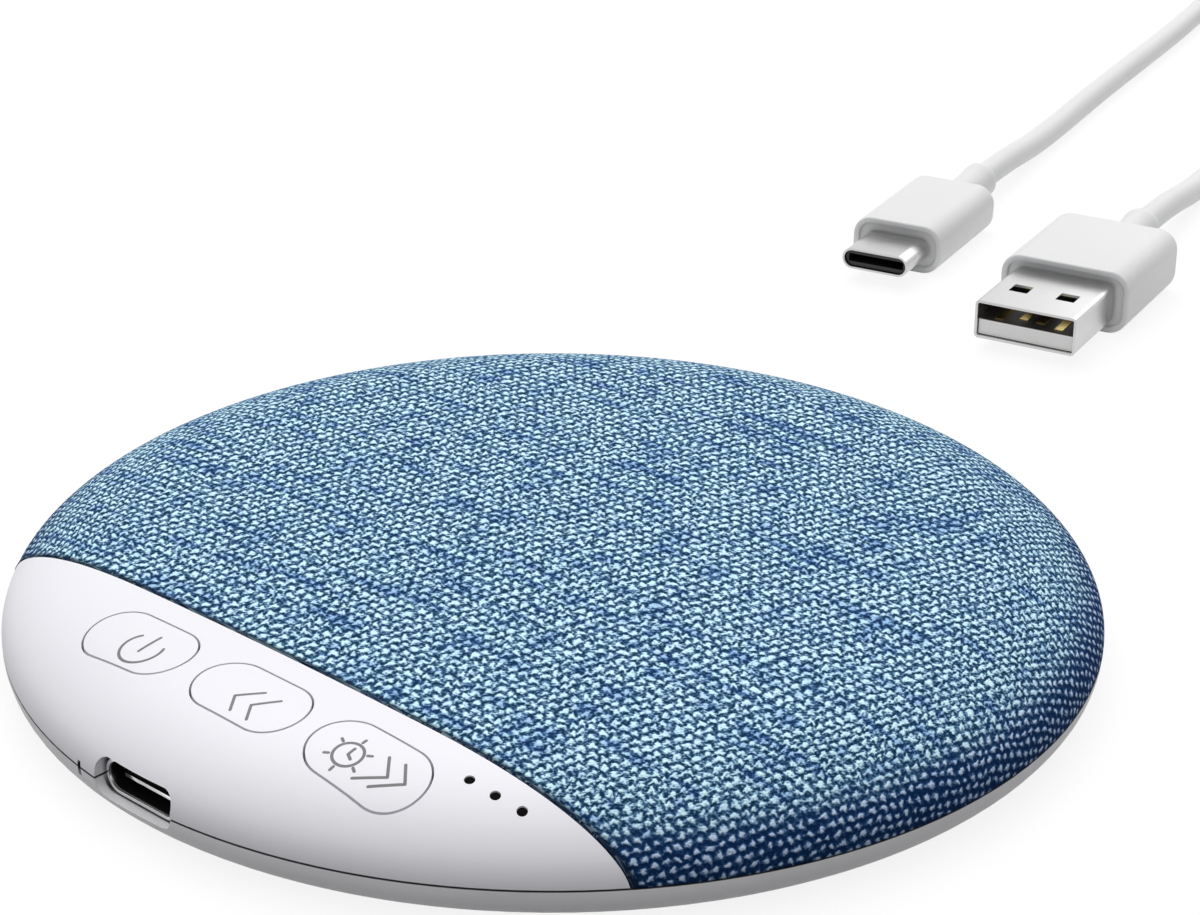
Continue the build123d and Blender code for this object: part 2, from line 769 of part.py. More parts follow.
# ---- Screws and feet -----------------------------------------------------------------
def make_screw(place, seat, length, up):
    """Pan-head screw: its head below the seat and shank up, or the other way round."""
    side = 1 if up else -1
    head_low, head_high = sorted((seat, seat - side * screw_head))
    shank_low, shank_high = sorted((seat, seat + side * length))
    head = disc(screw_head_radius, head_low, head_high, place)
    outer = head.faces().sort_by(Axis.Z)[0 if up else -1]
    head = fillet(outer.edges(), 0.35)
    recess_low, recess_high = sorted((seat - side * screw_head * 0.4, seat - side * (screw_head + 1)))
    for turn in (0, 90):
        bar = block((-0.9, 0.9), (-0.2, 0.2), (recess_low, recess_high))
        head -= Pos(place[0], place[1], 0) * Rot(0, 0, turn) * bar
    shank = disc(screw_radius, shank_low, shank_high, place)
    return head + shank


def make_case_screws():
    return group([make_screw(place, screw_seat, case_screw_length, True) for place in case_screw_places])


def make_board_screws():
    return group([make_screw(place, board_top, board_screw_length, False) for place in board_screw_places])


def make_feet():
    feet = []
    for place in case_screw_places:
        foot = disc(foot_radius, 0, foot_top, place)
        feet.append(fillet(foot.faces().sort_by(Axis.Z)[0].edges(), 0.25))
    return group(feet)


# ---- Cords and leads -----------------------------------------------------------------
def route_radii(points):
    """Each corner's arc: as large as 0.45 of its shorter run allows."""
    radii = []
    for before, here, after in zip(points, points[1:], points[2:]):
        one, two = Vector(*here) - Vector(*before), Vector(*after) - Vector(*here)
        half_turn = radians(one.get_angle(two)) / 2
        radii.append(0.45 * min(one.length, two.length) / tan(half_turn))
    return radii


def make_tube(points, radius, name):
    radii = route_radii(points)
    path = FilletPolyline(*points, radius=radii)
    start = Plane(origin=path @ 0, z_dir=path % 0)
    tube = sweep(start * Circle(radius), path=path, transition=Transition.ROUND)
    share = tube.volume / (pi * radius ** 2 * path.length)
    print(f"{name}: length {path.length:.1f} mm, volume share {share:.4f}, radii",
          " ".join(f"{value:.1f}" for value in radii))
    return tube


battery_lead_x, battery_lead_y = on_board(connector_places["battery"])
speaker_lead_x, speaker_lead_y = on_board(connector_places["speaker"])
battery_lead_y += connector_size[1] / 2
speaker_lead_y += connector_size[1] / 2
lead_z = board_top + 0.9
battery_front = battery_y - battery_width / 2 + battery_board_inset
battery_lead_end = -battery_length / 2 - 1.3
speaker_run = terminal_y - speaker_lead_y
battery_lead_route = [
    (battery_lead_x, battery_lead_y, lead_z), (battery_lead_x - 0.2, battery_lead_y + 4.7, lead_z),
    (-24.4, battery_lead_y + 11.2, 3.3), (-25.4, -2.0, 3.0), (-24.2, battery_front - 13.95, 3.0),
    (-20.6, battery_front - 7.35, 3.0),
    (battery_lead_end, battery_front - 3.35, 3.0), (battery_lead_end, battery_front, 3.0),
]
speaker_lead_route = [
    (speaker_lead_x, speaker_lead_y, lead_z),
    (speaker_lead_x - 0.1, speaker_lead_y + 0.233 * speaker_run, lead_z),
    (5.1, speaker_lead_y + 0.512 * speaker_run, 4.8),
    (3.8, speaker_lead_y + 0.756 * speaker_run, 5.1), (terminal_x, terminal_y, 5.1),
]


def side_step(points, step):
    return [(x + step, y, z) for x, y, z in points]


c_route = [
    (-40.35, 122.91, 3.0), (-42.2, 130.15, 3.0), (-46.0, 144.5, 1.7), (-52.6, 168.0, 1.65),
    (-60.6, 201.0, 1.7), (-66.0, 219.5, 1.8), (-68.6, 234.5, 2.1),
]
a_route = [
    (-14.79, 120.85, 3.75), (-16.6, 128.5, 3.75), (-20.1, 142.0, 1.75), (-25.9, 165.0, 1.65),
    (-30.4, 190.0, 1.7), (-32.6, 209.0, 2.3), (-33.4, 222.5, 5.2), (-33.0, 234.0, 5.3),
]


def on_plug(heading, place, height):
    """Frame of a plug: +X runs along it from the body's back towards the cord."""
    return Pos(place[0], place[1], height) * Rot(0, 0, heading)


def plug_bar(size, corner, start, length):
    """Rounded bar along the plug, size being (width, thickness)."""
    section = Plane((start, 0, 0), x_dir=(0, 1, 0), z_dir=(1, 0, 0))
    return section * extrude(RectangleRounded(size[0], size[1], corner), length)


def make_plug_body(body, frame):
    width, thickness, length = body
    shape = plug_bar((width, thickness), min(plug_round, thickness / 2 - 0.05), -length, length)
    shape = fillet(shape.faces().sort_by(Axis.X)[-1].edges(), 0.8)
    shape = fillet(shape.faces().sort_by(Axis.X)[0].edges(), 0.5)
    return frame * shape


def make_strain_relief(frame):
    relief = Pos(relief_length / 2, 0, 0) * Rot(0, 90, 0) * Cone(relief_root, relief_radius, relief_length)
    relief = fillet(relief.faces().sort_by(Axis.X)[-1].edges(), 0.4)
    return frame * relief


def make_plug_shell(shell, wall, body_length, corner):
    width, thickness, length = shell
    start = -body_length - length
    outer = plug_bar((width, thickness), corner, start, length)
    inner_corner = max(corner - wall, 0.2)
    return outer - plug_bar((width - 2 * wall, thickness - 2 * wall), inner_corner, start - 1, length + 2)


c_frame = on_plug(c_heading, c_place, c_body[1] / 2)
a_frame = on_plug(a_heading, a_place, a_body[1] / 2)


def make_c_shell():
    return c_frame * make_plug_shell(c_shell, c_shell_wall, c_body[2], c_shell[1] / 2 - 0.01)


def make_c_insert():
    """Black moulding behind the small plug's mouth, with a slot for the tongue."""
    start = -c_body[2] - c_shell[2]
    size = [side - 2 * c_shell_wall - 2 * insert_gap for side in c_shell[:2]]
    insert = plug_bar(size, size[1] / 2 - 0.02, start + 0.4, c_shell[2] - 0.4)
    insert -= plug_bar((tongue_width + 0.3, tongue_thickness + 0.3), 0.15, start, c_shell[2] - 1.2)
    return c_frame * insert


def make_a_shell():
    shell = make_plug_shell(a_shell, a_shell_wall, a_body[2], a_corner)
    for side in (-1, 1):
        middle = Pos(-a_body[2] - a_window_back, side * a_window_pitch / 2, 0)
        shell -= middle * Box(a_window, a_window, a_shell[1] + 1)
    return a_frame * shell


def make_a_insert():
    """Moulded blade that fills the lower half of the large plug's shell."""
    width = a_shell[0] - 2 * a_shell_wall - 2 * insert_gap
    height = a_shell[1] - 2 * a_shell_wall
    start = -a_body[2] - a_shell[2] + 0.4
    low = -height / 2 + insert_gap
    blade = block((start, -a_body[2]), (-width / 2, width / 2), (low, -height / 2 + a_blade))
    back = block((-a_body[2] - 1.5, -a_body[2]), (-width / 2, width / 2), (low, height / 2 - insert_gap))
    return a_frame * (blade + back)


def make_a_contacts():
    height = a_shell[1] - 2 * a_shell_wall
    start = -a_body[2] - a_shell[2] + 1.2
    top = -height / 2 + a_blade
    contacts = []
    for y, length in ((-3.5, 9.0), (-1.0, 8.0), (1.0, 8.0), (3.5, 9.0)):
        x_range = (start + 9.0 - length, start + 9.0)
        contacts.append(a_frame * block(x_range, (y - 0.5, y + 0.5), (top, top + 0.1)))
    return group(contacts)


coil_layer = 2 * cord_radius
coil_low_z = tie_wall
coil_high_z = coil_low_z + coil_layer * (1 + sqrt(3) / 2)
coil_inner = coil_turn_radius - coil_layer
coil_outer = coil_turn_radius + coil_layer


def make_coil():
    """Outer shape of the cord's wound turns: two side by side and one on top."""
    shoulder_z = coil_low_z + coil_layer * 0.8
    top_inner, top_outer = coil_turn_radius - cord_radius, coil_turn_radius + cord_radius
    outline = Polyline((coil_inner, coil_low_z), (coil_outer, coil_low_z), (coil_outer, shoulder_z),
                       (top_outer, coil_high_z), (top_inner, coil_high_z), (coil_inner, shoulder_z), close=True)
    coil = spun(make_face(outline))
    coil = fillet(coil.edges().filter_by(GeomType.CIRCLE), 0.7)
    return Pos(*coil_center, 0) * coil


def make_tie():
    """Flat strap round the coil's turns."""
    inner, outer = coil_inner - tie_gap, coil_outer + tie_gap
    top = coil_high_z + tie_gap
    half = tie_width / 2
    strap = block((inner - tie_wall, outer + tie_wall), (-half, half), (0, top + tie_wall))
    strap = fillet(strap.edges().filter_by(Axis.Y), 0.4)
    strap -= block((inner, outer), (-tie_width, tie_width), (tie_wall, top))
    return Pos(*coil_center, 0) * Rot(0, 0, 90) * strap


# ---- Write every piece ---------------------------------------------------------------
pieces = {
    "lower_shell": make_lower_shell(),
    "grille_frame": make_grille_frame(),
    "fabric_cover": make_fabric_cover(),
    "control_panel": make_control_panel(),
    "switch_bodies": group([make_switch_body(place) for place in button_places.values()]),
    "button_guide": make_button_guide(),
    "main_board": make_main_board(),
    "board_capacitors": make_capacitors(),
    "power_inductor": make_inductor(),
    "lead_connectors": group([make_connector(place) for place in connector_places.values()]),
    "charging_port_shell": make_port_shell(),
    "charging_port_tongue": make_port_tongue(),
    "charging_port_contacts": make_port_contacts(),
    "indicator_leds": make_leds(),
    "indicator_light_guide": make_light_guide(),
    "speaker_basket": make_basket(),
    "speaker_yoke": make_yoke(),
    "speaker_magnet": make_magnet(),
    "speaker_pole_plate": make_pole_plate(),
    "speaker_voice_coil": make_voice_coil(),
    "speaker_cone": make_cone(),
    "speaker_dust_cap": make_dust_cap(),
    "speaker_surround": make_surround(),
    "speaker_gasket": make_gasket(),
    "speaker_terminals": make_terminals(),
    "battery_cell": make_battery_cell(),
    "battery_board": make_battery_board(),
    "battery_tape": make_battery_tape(),
    "case_screws": make_case_screws(),
    "board_screws": make_board_screws(),
    "rubber_feet": make_feet(),
    "cable_c_plug_shell": make_c_shell(),
    "cable_c_plug_insert": make_c_insert(),
    "cable_c_plug_body": make_plug_body(c_body, c_frame),
    "cable_c_strain_relief": make_strain_relief(c_frame),
    "cable_c_run": make_tube(c_route, cord_radius, "cable_c_run"),
    "cable_coil": make_coil(),
    "cable_tie": make_tie(),
    "cable_a_run": make_tube(a_route, cord_radius, "cable_a_run"),
    "cable_a_strain_relief": make_strain_relief(a_frame),
    "cable_a_plug_body": make_plug_body(a_body, a_frame),
    "cable_a_plug_shell": make_a_shell(),
    "cable_a_plug_insert": make_a_insert(),
    "cable_a_plug_contacts": make_a_contacts(),
}
for name, chip in chips.items():
    pieces[name] = make_chip(**chip)
for name, place in button_places.items():
    pieces[f"{name}_button"] = make_button(place)
    pieces[f"{name}_switch_plunger"] = make_plunger(place)
for side, step in (("positive", -lead_pitch / 2), ("negative", lead_pitch / 2)):
    for lead, route in (("battery", battery_lead_route), ("speaker", speaker_lead_route)):
        node = f"{lead}_lead_{side}"
        pieces[node] = make_tube(side_step(route, step), lead_radius, node)

os.makedirs("parts", exist_ok=True)
for node, shape in pieces.items():
    export_step(shape, f"parts/{node}.step")
print(len(pieces), "nodes, top of the housing at", round(z_top, 2))
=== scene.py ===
import json
import math
import bmesh
import bpy
from mathutils import Matrix, Vector


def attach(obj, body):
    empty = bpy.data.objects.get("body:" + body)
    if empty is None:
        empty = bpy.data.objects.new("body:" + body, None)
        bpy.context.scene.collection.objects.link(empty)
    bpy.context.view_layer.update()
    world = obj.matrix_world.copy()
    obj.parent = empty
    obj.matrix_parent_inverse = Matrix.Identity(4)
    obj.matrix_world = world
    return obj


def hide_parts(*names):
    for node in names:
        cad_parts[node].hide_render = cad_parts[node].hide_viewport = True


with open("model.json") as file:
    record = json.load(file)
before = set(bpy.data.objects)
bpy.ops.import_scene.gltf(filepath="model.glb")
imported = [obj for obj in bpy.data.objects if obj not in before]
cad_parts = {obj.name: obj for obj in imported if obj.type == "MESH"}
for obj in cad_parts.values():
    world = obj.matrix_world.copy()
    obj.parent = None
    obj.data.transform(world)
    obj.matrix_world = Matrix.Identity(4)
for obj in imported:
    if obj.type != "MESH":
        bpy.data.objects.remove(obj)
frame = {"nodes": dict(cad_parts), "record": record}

for leftover in ("Cube", "Light", "Camera"):  # what a new file starts with
    if leftover in bpy.data.objects:
        bpy.data.objects.remove(bpy.data.objects[leftover])
nodes = frame["nodes"]
scene = bpy.context.scene
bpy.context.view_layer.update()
mm = 0.001  # the sizes below are in millimetres, unless they say otherwise
print("frame loaded:", len(nodes), "nodes")

# camera: it stands 27 degrees above the table top, turned 43 degrees from the panel's front
lens = {"turn": 43.2, "rise": 27.22, "look": 24.62, "away": 273.3, "lift": 3.9, "focal": 89.07, "sensor": 36,
        "shiftX": 0.0392, "nearest": 10}
cameraData = bpy.data.cameras.new("viewCamera")
cameraData.lens = lens["focal"]
cameraData.sensor_width = lens["sensor"]
cameraData.shift_x = lens["shiftX"]
cameraData.clip_start = lens["nearest"] * mm
camera = bpy.data.objects.new("viewCamera", cameraData)
scene.collection.objects.link(camera)
turn, rise = math.radians(lens["turn"]), math.radians(lens["rise"])
reach = lens["away"] * mm
camera.location = (reach * math.sin(turn) * math.cos(rise), -reach * math.cos(turn) * math.cos(rise),
                   reach * math.sin(rise) + lens["lift"] * mm)
camera.rotation_euler = (math.radians(90 - lens["look"]), 0, turn)
scene.camera = camera
scene.view_settings.view_transform = "Standard"
print("camera placed")


# ---- small helpers
def meshPiece(name, bm, body, finish, smooth=40):
    mesh = bpy.data.meshes.new(name)
    bm.to_mesh(mesh)
    bm.free()
    piece = bpy.data.objects.new(name, mesh)
    scene.collection.objects.link(piece)
    mesh.materials.append(finish)
    mesh.polygons.foreach_set("use_smooth", [True] * len(mesh.polygons))
    mesh.set_sharp_from_angle(angle=math.radians(smooth))
    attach(piece, body)
    return piece


def turnedProfile(bm, profile, axis, steps):
    # an outline of points in mm, turned all the way round an axis through the origin
    points = [bm.verts.new([part * mm for part in point]) for point in profile]
    edges = [bm.edges.new(pair) for pair in zip(points, points[1:])]
    bmesh.ops.spin(bm, geom=points + edges, cent=(0, 0, 0), axis=axis, angle=2 * math.pi, steps=steps,
                   use_merge=True, use_duplicate=False)
    bmesh.ops.remove_doubles(bm, verts=bm.verts, dist=1e-7)


def rounded(bm, edges, offset, segments):
    bmesh.ops.bevel(bm, geom=edges, offset=offset * mm, offset_type="OFFSET", segments=segments, profile=0.5,
                    affect="EDGES", material=-1)


def vertsOf(grown):
    return [item for item in grown if isinstance(item, bmesh.types.BMVert)]


# ---- building blocks for the finishes
def startFinish(name):
    material = bpy.data.materials.new(name)
    material.use_nodes = True
    tree = material.node_tree
    return material, tree, tree.nodes["Principled BSDF"]


def addNode(tree, kind, **settings):
    node = tree.nodes.new(kind)
    for key, value in settings.items():
        if key.startswith("in_"):
            node.inputs[key[3:]].default_value = value
        else:
            setattr(node, key, value)
    return node


def ramp(tree, source, stops):
    node = tree.nodes.new("ShaderNodeValToRGB")
    elements = node.color_ramp.elements
    while len(elements) < len(stops):
        elements.new(0.5)
    for element, (place, colour) in zip(elements, stops):
        element.position = place
        element.color = (*colour, 1)
    tree.links.new(source, node.inputs["Fac"])
    return node.outputs["Color"]


def mathNode(tree, operation, first, second=None, third=None, clamp=False):
    node = tree.nodes.new("ShaderNodeMath")
    node.operation = operation
    node.use_clamp = clamp
    for socket, value in zip(node.inputs, (first, second, third)):
        if value is None:
            continue
        if isinstance(value, (int, float)):
            socket.default_value = value
        else:
            tree.links.new(value, socket)
    return node.outputs[0]


def smoothStep(tree, value, start, end, low=0, high=1):
    step = addNode(tree, "ShaderNodeMapRange", interpolation_type="SMOOTHSTEP")
    for name, number in (("From Min", start), ("From Max", end), ("To Min", low), ("To Max", high)):
        step.inputs[name].default_value = number
    tree.links.new(value, step.inputs["Value"])
    return step.outputs[0]


def mixColours(tree, share, first, second):
    # each colour is a socket or three numbers
    mix = addNode(tree, "ShaderNodeMix", data_type="RGBA")
    tree.links.new(share, mix.inputs["Factor"])
    for name, colour in (("A", first), ("B", second)):
        if isinstance(colour, tuple):
            mix.inputs[name].default_value = (*colour, 1)
        else:
            tree.links.new(colour, mix.inputs[name])
    return mix.outputs["Result"]


def objectPlace(tree):
    place = addNode(tree, "ShaderNodeSeparateXYZ")
    tree.links.new(addNode(tree, "ShaderNodeTexCoord").outputs["Object"], place.inputs[0])
    return place.outputs


grainLook = {"slow": 45, "slowDetail": 3, "fineDetail": 4, "tones": (0.3, 0.7), "gloss": 0.12, "bump": 0.6}


def moulded(name, colour, roughness=0.45, metallic=0.0, grain=900, depth=1e-5, tone=0.04, coat=0.0,
            stretch=(1, 1, 1), specular=0.5):
    # a moulded, plated or sprayed surface: fine grain in its relief, slow change in its tone and gloss
    material, tree, shader = startFinish(name)
    link = tree.links.new
    place = addNode(tree, "ShaderNodeMapping")
    place.inputs["Scale"].default_value = stretch
    link(addNode(tree, "ShaderNodeTexCoord").outputs["Object"], place.inputs["Vector"])
    slow = addNode(tree, "ShaderNodeTexNoise", in_Scale=grainLook["slow"], in_Detail=grainLook["slowDetail"])
    fine = addNode(tree, "ShaderNodeTexNoise", in_Scale=grain, in_Detail=grainLook["fineDetail"])
    link(place.outputs["Vector"], slow.inputs["Vector"])
    link(place.outputs["Vector"], fine.inputs["Vector"])
    darker = [max(0, part * (1 - tone)) for part in colour]
    lighter = [min(1, part * (1 + tone)) for part in colour]
    tones = ramp(tree, slow.outputs["Fac"], list(zip(grainLook["tones"], (darker, lighter))))
    link(tones, shader.inputs["Base Color"])
    gloss = addNode(tree, "ShaderNodeMapRange")
    gloss.inputs["To Min"].default_value = roughness * (1 - grainLook["gloss"])
    gloss.inputs["To Max"].default_value = min(1, roughness * (1 + grainLook["gloss"]))
    link(fine.outputs["Fac"], gloss.inputs["Value"])
    link(gloss.outputs["Result"], shader.inputs["Roughness"])
    bump = addNode(tree, "ShaderNodeBump", in_Distance=depth, in_Strength=grainLook["bump"])
    link(fine.outputs["Fac"], bump.inputs["Height"])
    link(bump.outputs["Normal"], shader.inputs["Normal"])
    shader.inputs["Metallic"].default_value = metallic
    shader.inputs["Coat Weight"].default_value = coat
    shader.inputs["Specular IOR Level"].default_value = specular
    return material


cover = {
    "edgeY": -33.125, "edgeZ": 10.306, "lean": 10.2,   # the joint with the panel: a place on it, and its lean
    "fold": 0.3, "tuck": 1.2, "thick": 0.6,            # how the cloth turns down there
    "clear": 0.02,                                     # left between the tuck and the seam's height
    # shares of the fold ahead and down, and last the whole tuck
    "foldSteps": ((0.45, 0.10), (0.35, 0.25), (0.2, 0.45), (0.0, 1.0)),
    "turns": 288, "crown": 44, "edge": 26,             # steps round, over the crown and over the rounded edge
    "tighter": 1.35, "tightFrom": 38, "tightOver": 5,  # the weave is drawn tighter over the rounded edge
}
clothLook = {
    # stitches stand on a slanted lattice, counted per mm along x and y
    "rows": ((0.85, -0.27), (-0.03, -1.02)),
    "strength": (0.42, 0.32, 0.22),     # of the two runs of rows, and of the runs across both
    "arch": (0.8, 2.0),                 # how far each stitch arches in its row, and how much that varies
    "archNoise": 240,                   # scale of the noise that varies it
    "bend": ((90, 0.0018), (560, 0.0011)),   # noise scale and metres of wander
    "fray": ((1300, 1.6), (3400, 2.7)),      # finer noise that breaks up the stitches
    "slip": (330, 5.0),                 # noise scale, and how far the third run slips against the others
    # tones by a stitch's height, here and in dyedTones: the yarn's colours, with the lowest stops darkened as
    # painted shade in the hollows between stitches
    "tones": [(0.16, (0.006, 0.032, 0.075)), (0.38, (0.045, 0.120, 0.215)), (0.52, (0.17, 0.31, 0.46)),
              (0.66, (0.45, 0.68, 0.84)), (0.84, (0.66, 0.92, 0.99))],
    "dyedTones": [(0.2, (0.006, 0.030, 0.10)), (0.5, (0.06, 0.15, 0.36)), (0.8, (0.28, 0.48, 0.80))],
    # darker tones for the rounded edge: the stretched weave shows more ground, and they also hold painted
    # shade where the edge turns down
    "edgeShadedTones": [(0.30, (0.003, 0.022, 0.085)), (0.52, (0.020, 0.065, 0.165)), (0.68, (0.16, 0.25, 0.44)),
                  (0.84, (0.50, 0.62, 0.82))],
    "yarn": ((2, (0.13, 1, 1), 620, 0.62), (-8, (1, 0.22, 1), 430, 0.38)),   # turn, stretch, scale and share
    "yarnRange": (0.51, 0.36, 0.8),     # where dark yarn starts and is full, and how dark that is
    "dyed": 0.10,                       # how far dark yarn lowers a stitch's tone
    "low": (0.0088, 0.0062),            # heights between which the edge's tones take over
    "calm": 0.45,                       # how much more even the weave is down there
    "seam": (0.00045, -0.00005, 0.75),  # shade along the panel: from, to in metres, and how deep
    "seamShade": (0.004, 0.012, 0.028),
    "relief": (0.0003, 0.6),            # bump's depth in metres, and its strength
    "roughness": 0.9, "specular": 0.06,
}


def wovenCloth():
    # three runs of rows cross each other, and their sum rises to a stitch at every crossing
    look = clothLook
    material, tree, shader = startFinish("wovenCloth")
    link = tree.links.new
    where = addNode(tree, "ShaderNodeUVMap", uv_map="weave")
    bent = where.outputs["UV"]
    for scale, wander in look["bend"]:
        warp = addNode(tree, "ShaderNodeTexNoise", in_Scale=scale, in_Detail=1)
        link(where.outputs["UV"], warp.inputs["Vector"])
        centred = addNode(tree, "ShaderNodeVectorMath", operation="SUBTRACT")
        link(warp.outputs["Color"], centred.inputs[0])
        centred.inputs[1].default_value = (0.5, 0.5, 0.5)
        moved = addNode(tree, "ShaderNodeVectorMath", operation="MULTIPLY_ADD")
        link(centred.outputs[0], moved.inputs[0])
        moved.inputs[1].default_value = (wander, wander, 0)
        link(bent, moved.inputs[2])
        bent = moved.outputs[0]

    def countRows(rows):
        run = addNode(tree, "ShaderNodeVectorMath", operation="DOT_PRODUCT")
        link(bent, run.inputs[0])
        run.inputs[1].default_value = (*(perMm / mm * 2 * math.pi for perMm in rows), 0)
        return run.outputs["Value"]

    def noiseAt(scale):
        noise = addNode(tree, "ShaderNodeTexNoise", in_Scale=scale, in_Detail=1)
        link(where.outputs["UV"], noise.inputs["Vector"])
        return noise.outputs["Fac"]

    first, second = [countRows(rows) for rows in look["rows"]]
    across = mathNode(tree, "SUBTRACT", first, second)
    # low on the rounded edge the cloth is stretched: no arches, and single small beads on a darker ground;
    # that ground is darker also as painted shade, where the edge turns down away from the lamps
    place = objectPlace(tree)
    low = smoothStep(tree, place["Z"], *look["low"])
    high = mathNode(tree, "MULTIPLY_ADD", low, -look["calm"], 1)
    plain, varied = look["arch"]
    arch = mathNode(tree, "MULTIPLY_ADD", noiseAt(look["archNoise"]), varied, plain - varied / 2)
    arch = mathNode(tree, "MULTIPLY", arch, high)
    arch = mathNode(tree, "MULTIPLY", mathNode(tree, "COSINE", across), arch)
    first, second = mathNode(tree, "ADD", first, arch), mathNode(tree, "ADD", second, arch)
    scale, distance = look["slip"]
    slip = mathNode(tree, "MULTIPLY", mathNode(tree, "SUBTRACT", noiseAt(scale), 0.5), distance)
    third = mathNode(tree, "MULTIPLY_ADD", slip, high, across)
    height = 0.5
    for run, strength in zip((first, second, third), look["strength"]):
        height = mathNode(tree, "MULTIPLY_ADD", mathNode(tree, "COSINE", run), strength / 2, height)
    for scale, share in look["fray"]:
        loose = mathNode(tree, "MULTIPLY", mathNode(tree, "SUBTRACT", noiseAt(scale), 0.5), share / 2)
        height = mathNode(tree, "MULTIPLY_ADD", loose, high, height)

    # melange: lengths of yarn, mostly along x, are dyed darker
    def dyed(turnedBy, stretch, scale, share):
        run = addNode(tree, "ShaderNodeMapping")
        run.inputs["Rotation"].default_value = (0, 0, math.radians(turnedBy))
        run.inputs["Scale"].default_value = stretch
        link(where.outputs["UV"], run.inputs["Vector"])
        noise = addNode(tree, "ShaderNodeTexNoise", in_Scale=scale, in_Detail=2)
        link(run.outputs[0], noise.inputs["Vector"])
        return mathNode(tree, "MULTIPLY", noise.outputs["Fac"], share)

    start, full, deepest = look["yarnRange"]
    yarn = mathNode(tree, "ADD", *(dyed(*run) for run in look["yarn"]))
    darkYarn = smoothStep(tree, yarn, start, full, high=deepest)
    tone = mathNode(tree, "MULTIPLY_ADD", darkYarn, -look["dyed"], height)
    # the edge's tones, darker partly as painted shade, take over low on the rounded edge
    plainYarn, dyedYarn, edgeShadedYarn = [ramp(tree, tone, look[tones])
                                     for tones in ("tones", "dyedTones", "edgeShadedTones")]
    colour = mixColours(tree, low, mixColours(tree, darkYarn, plainYarn, dyedYarn), edgeShadedYarn)
    # it turns down beside the panel, in the shade of the joint
    lean = math.radians(cover["lean"])
    ahead = mathNode(tree, "MULTIPLY_ADD", place["Z"], math.sin(lean),
                     mathNode(tree, "MULTIPLY", place["Y"], math.cos(lean)))
    joint = ((cover["edgeY"] + cover["fold"]) * math.cos(lean) + cover["edgeZ"] * math.sin(lean)) * mm
    shadeFrom, shadeTo, depth = look["seam"]
    shade = smoothStep(tree, ahead, joint + shadeFrom, joint + shadeTo, high=depth)
    link(mixColours(tree, shade, colour, look["seamShade"]), shader.inputs["Base Color"])
    bump = addNode(tree, "ShaderNodeBump", in_Distance=look["relief"][0], in_Strength=look["relief"][1])
    link(height, bump.inputs["Height"])
    link(bump.outputs["Normal"], shader.inputs["Normal"])
    shader.inputs["Roughness"].default_value = look["roughness"]
    shader.inputs["Specular IOR Level"].default_value = look["specular"]
    return material


finishes = {
    "pale_panel_plastic": moulded("panelPlastic", (0.78, 0.775, 0.82), 0.42, depth=4e-6, tone=0.012,
                                  grain=2600),
    # lighter than the panel's plastic as painted light: it lifts the lower shell's band, which faces down,
    # away from the lamps
    "pale_base_plastic": moulded("basePlasticLightened", (0.82, 0.82, 0.845), 0.5, depth=8e-6, tone=0.02, grain=2400),
    "button_plastic": moulded("buttonPlastic", (0.78, 0.775, 0.82), 0.4, depth=4e-6, tone=0.012, grain=2600),
    "black_plastic": moulded("blackPlastic", (0.012, 0.012, 0.014), 0.35, tone=0.2, grain=1500),
    "blue_cloth": wovenCloth(),
    "smoked_plastic": moulded("smokedPlastic", (0.006, 0.005, 0.005), 0.9, tone=0.1, specular=0.03),
    "dark_rubber": moulded("footRubber", (0.05, 0.05, 0.055), 0.8, depth=3e-5, tone=0.15),
    "circuit_board_green": moulded("boardResist", (0.01, 0.11, 0.035), 0.3, tone=0.25, grain=700, coat=0.5),
    "chip_black": moulded("chipEpoxy", (0.015, 0.015, 0.016), 0.6, tone=0.15),
    "ceramic_tan": moulded("ceramic", (0.42, 0.28, 0.15), 0.5, tone=0.12),
    "ferrite_grey": moulded("ferrite", (0.06, 0.06, 0.065), 0.55, tone=0.15),
    "port_steel": moulded("drawnSteel", (0.58, 0.58, 0.58), 0.25, metallic=1.0, tone=0.04, grain=500,
                          depth=4e-6, stretch=(1, 1, 8)),
    "gilt_contact": moulded("giltContact", (0.85, 0.62, 0.24), 0.25, metallic=1.0, tone=0.05),
    "white_light_plastic": moulded("lampPlastic", (0.82, 0.82, 0.76), 0.3, tone=0.03, coat=0.3),
    "plated_steel": moulded("platedSteel", (0.55, 0.55, 0.57), 0.32, metallic=1.0, tone=0.08, grain=600),
    "magnet_grey": moulded("magnetPlate", (0.42, 0.42, 0.43), 0.3, metallic=1.0, tone=0.08),
    "copper_wire": moulded("copperWinding", (0.72, 0.30, 0.14), 0.3, metallic=1.0, tone=0.12, grain=400,
                           stretch=(0.05, 0.05, 14)),
    "black_paper": moulded("pulpPaper", (0.02, 0.02, 0.022), 0.85, tone=0.25, depth=4e-5, grain=1100),
    "black_rubber": moulded("softRubber", (0.014, 0.014, 0.014), 0.6, tone=0.15),
    "foam_black": moulded("foam", (0.03, 0.03, 0.03), 0.95, tone=0.3, depth=8e-5, grain=1500),
    "battery_foil": moulded("pouchFoil", (0.62, 0.63, 0.65), 0.3, metallic=0.9, tone=0.06, depth=4e-5,
                            grain=260),
    "tape_white": moulded("foamTape", (0.75, 0.75, 0.72), 0.8, tone=0.06, depth=4e-5),
    "red_lead": moulded("redSleeve", (0.50, 0.02, 0.02), 0.4, tone=0.06),
    "black_lead": moulded("blackSleeve", (0.015, 0.015, 0.015), 0.4, tone=0.1),
    "white_cord": moulded("cordJacket", (0.66, 0.66, 0.665), 0.5, tone=0.015, depth=1e-5, grain=700),
    "white_plug": moulded("plugPlastic", (0.66, 0.66, 0.665), 0.45, tone=0.012, depth=4e-6, grain=2400),
    "connector_white": moulded("connectorPlastic", (0.74, 0.73, 0.71), 0.5, tone=0.04),
}
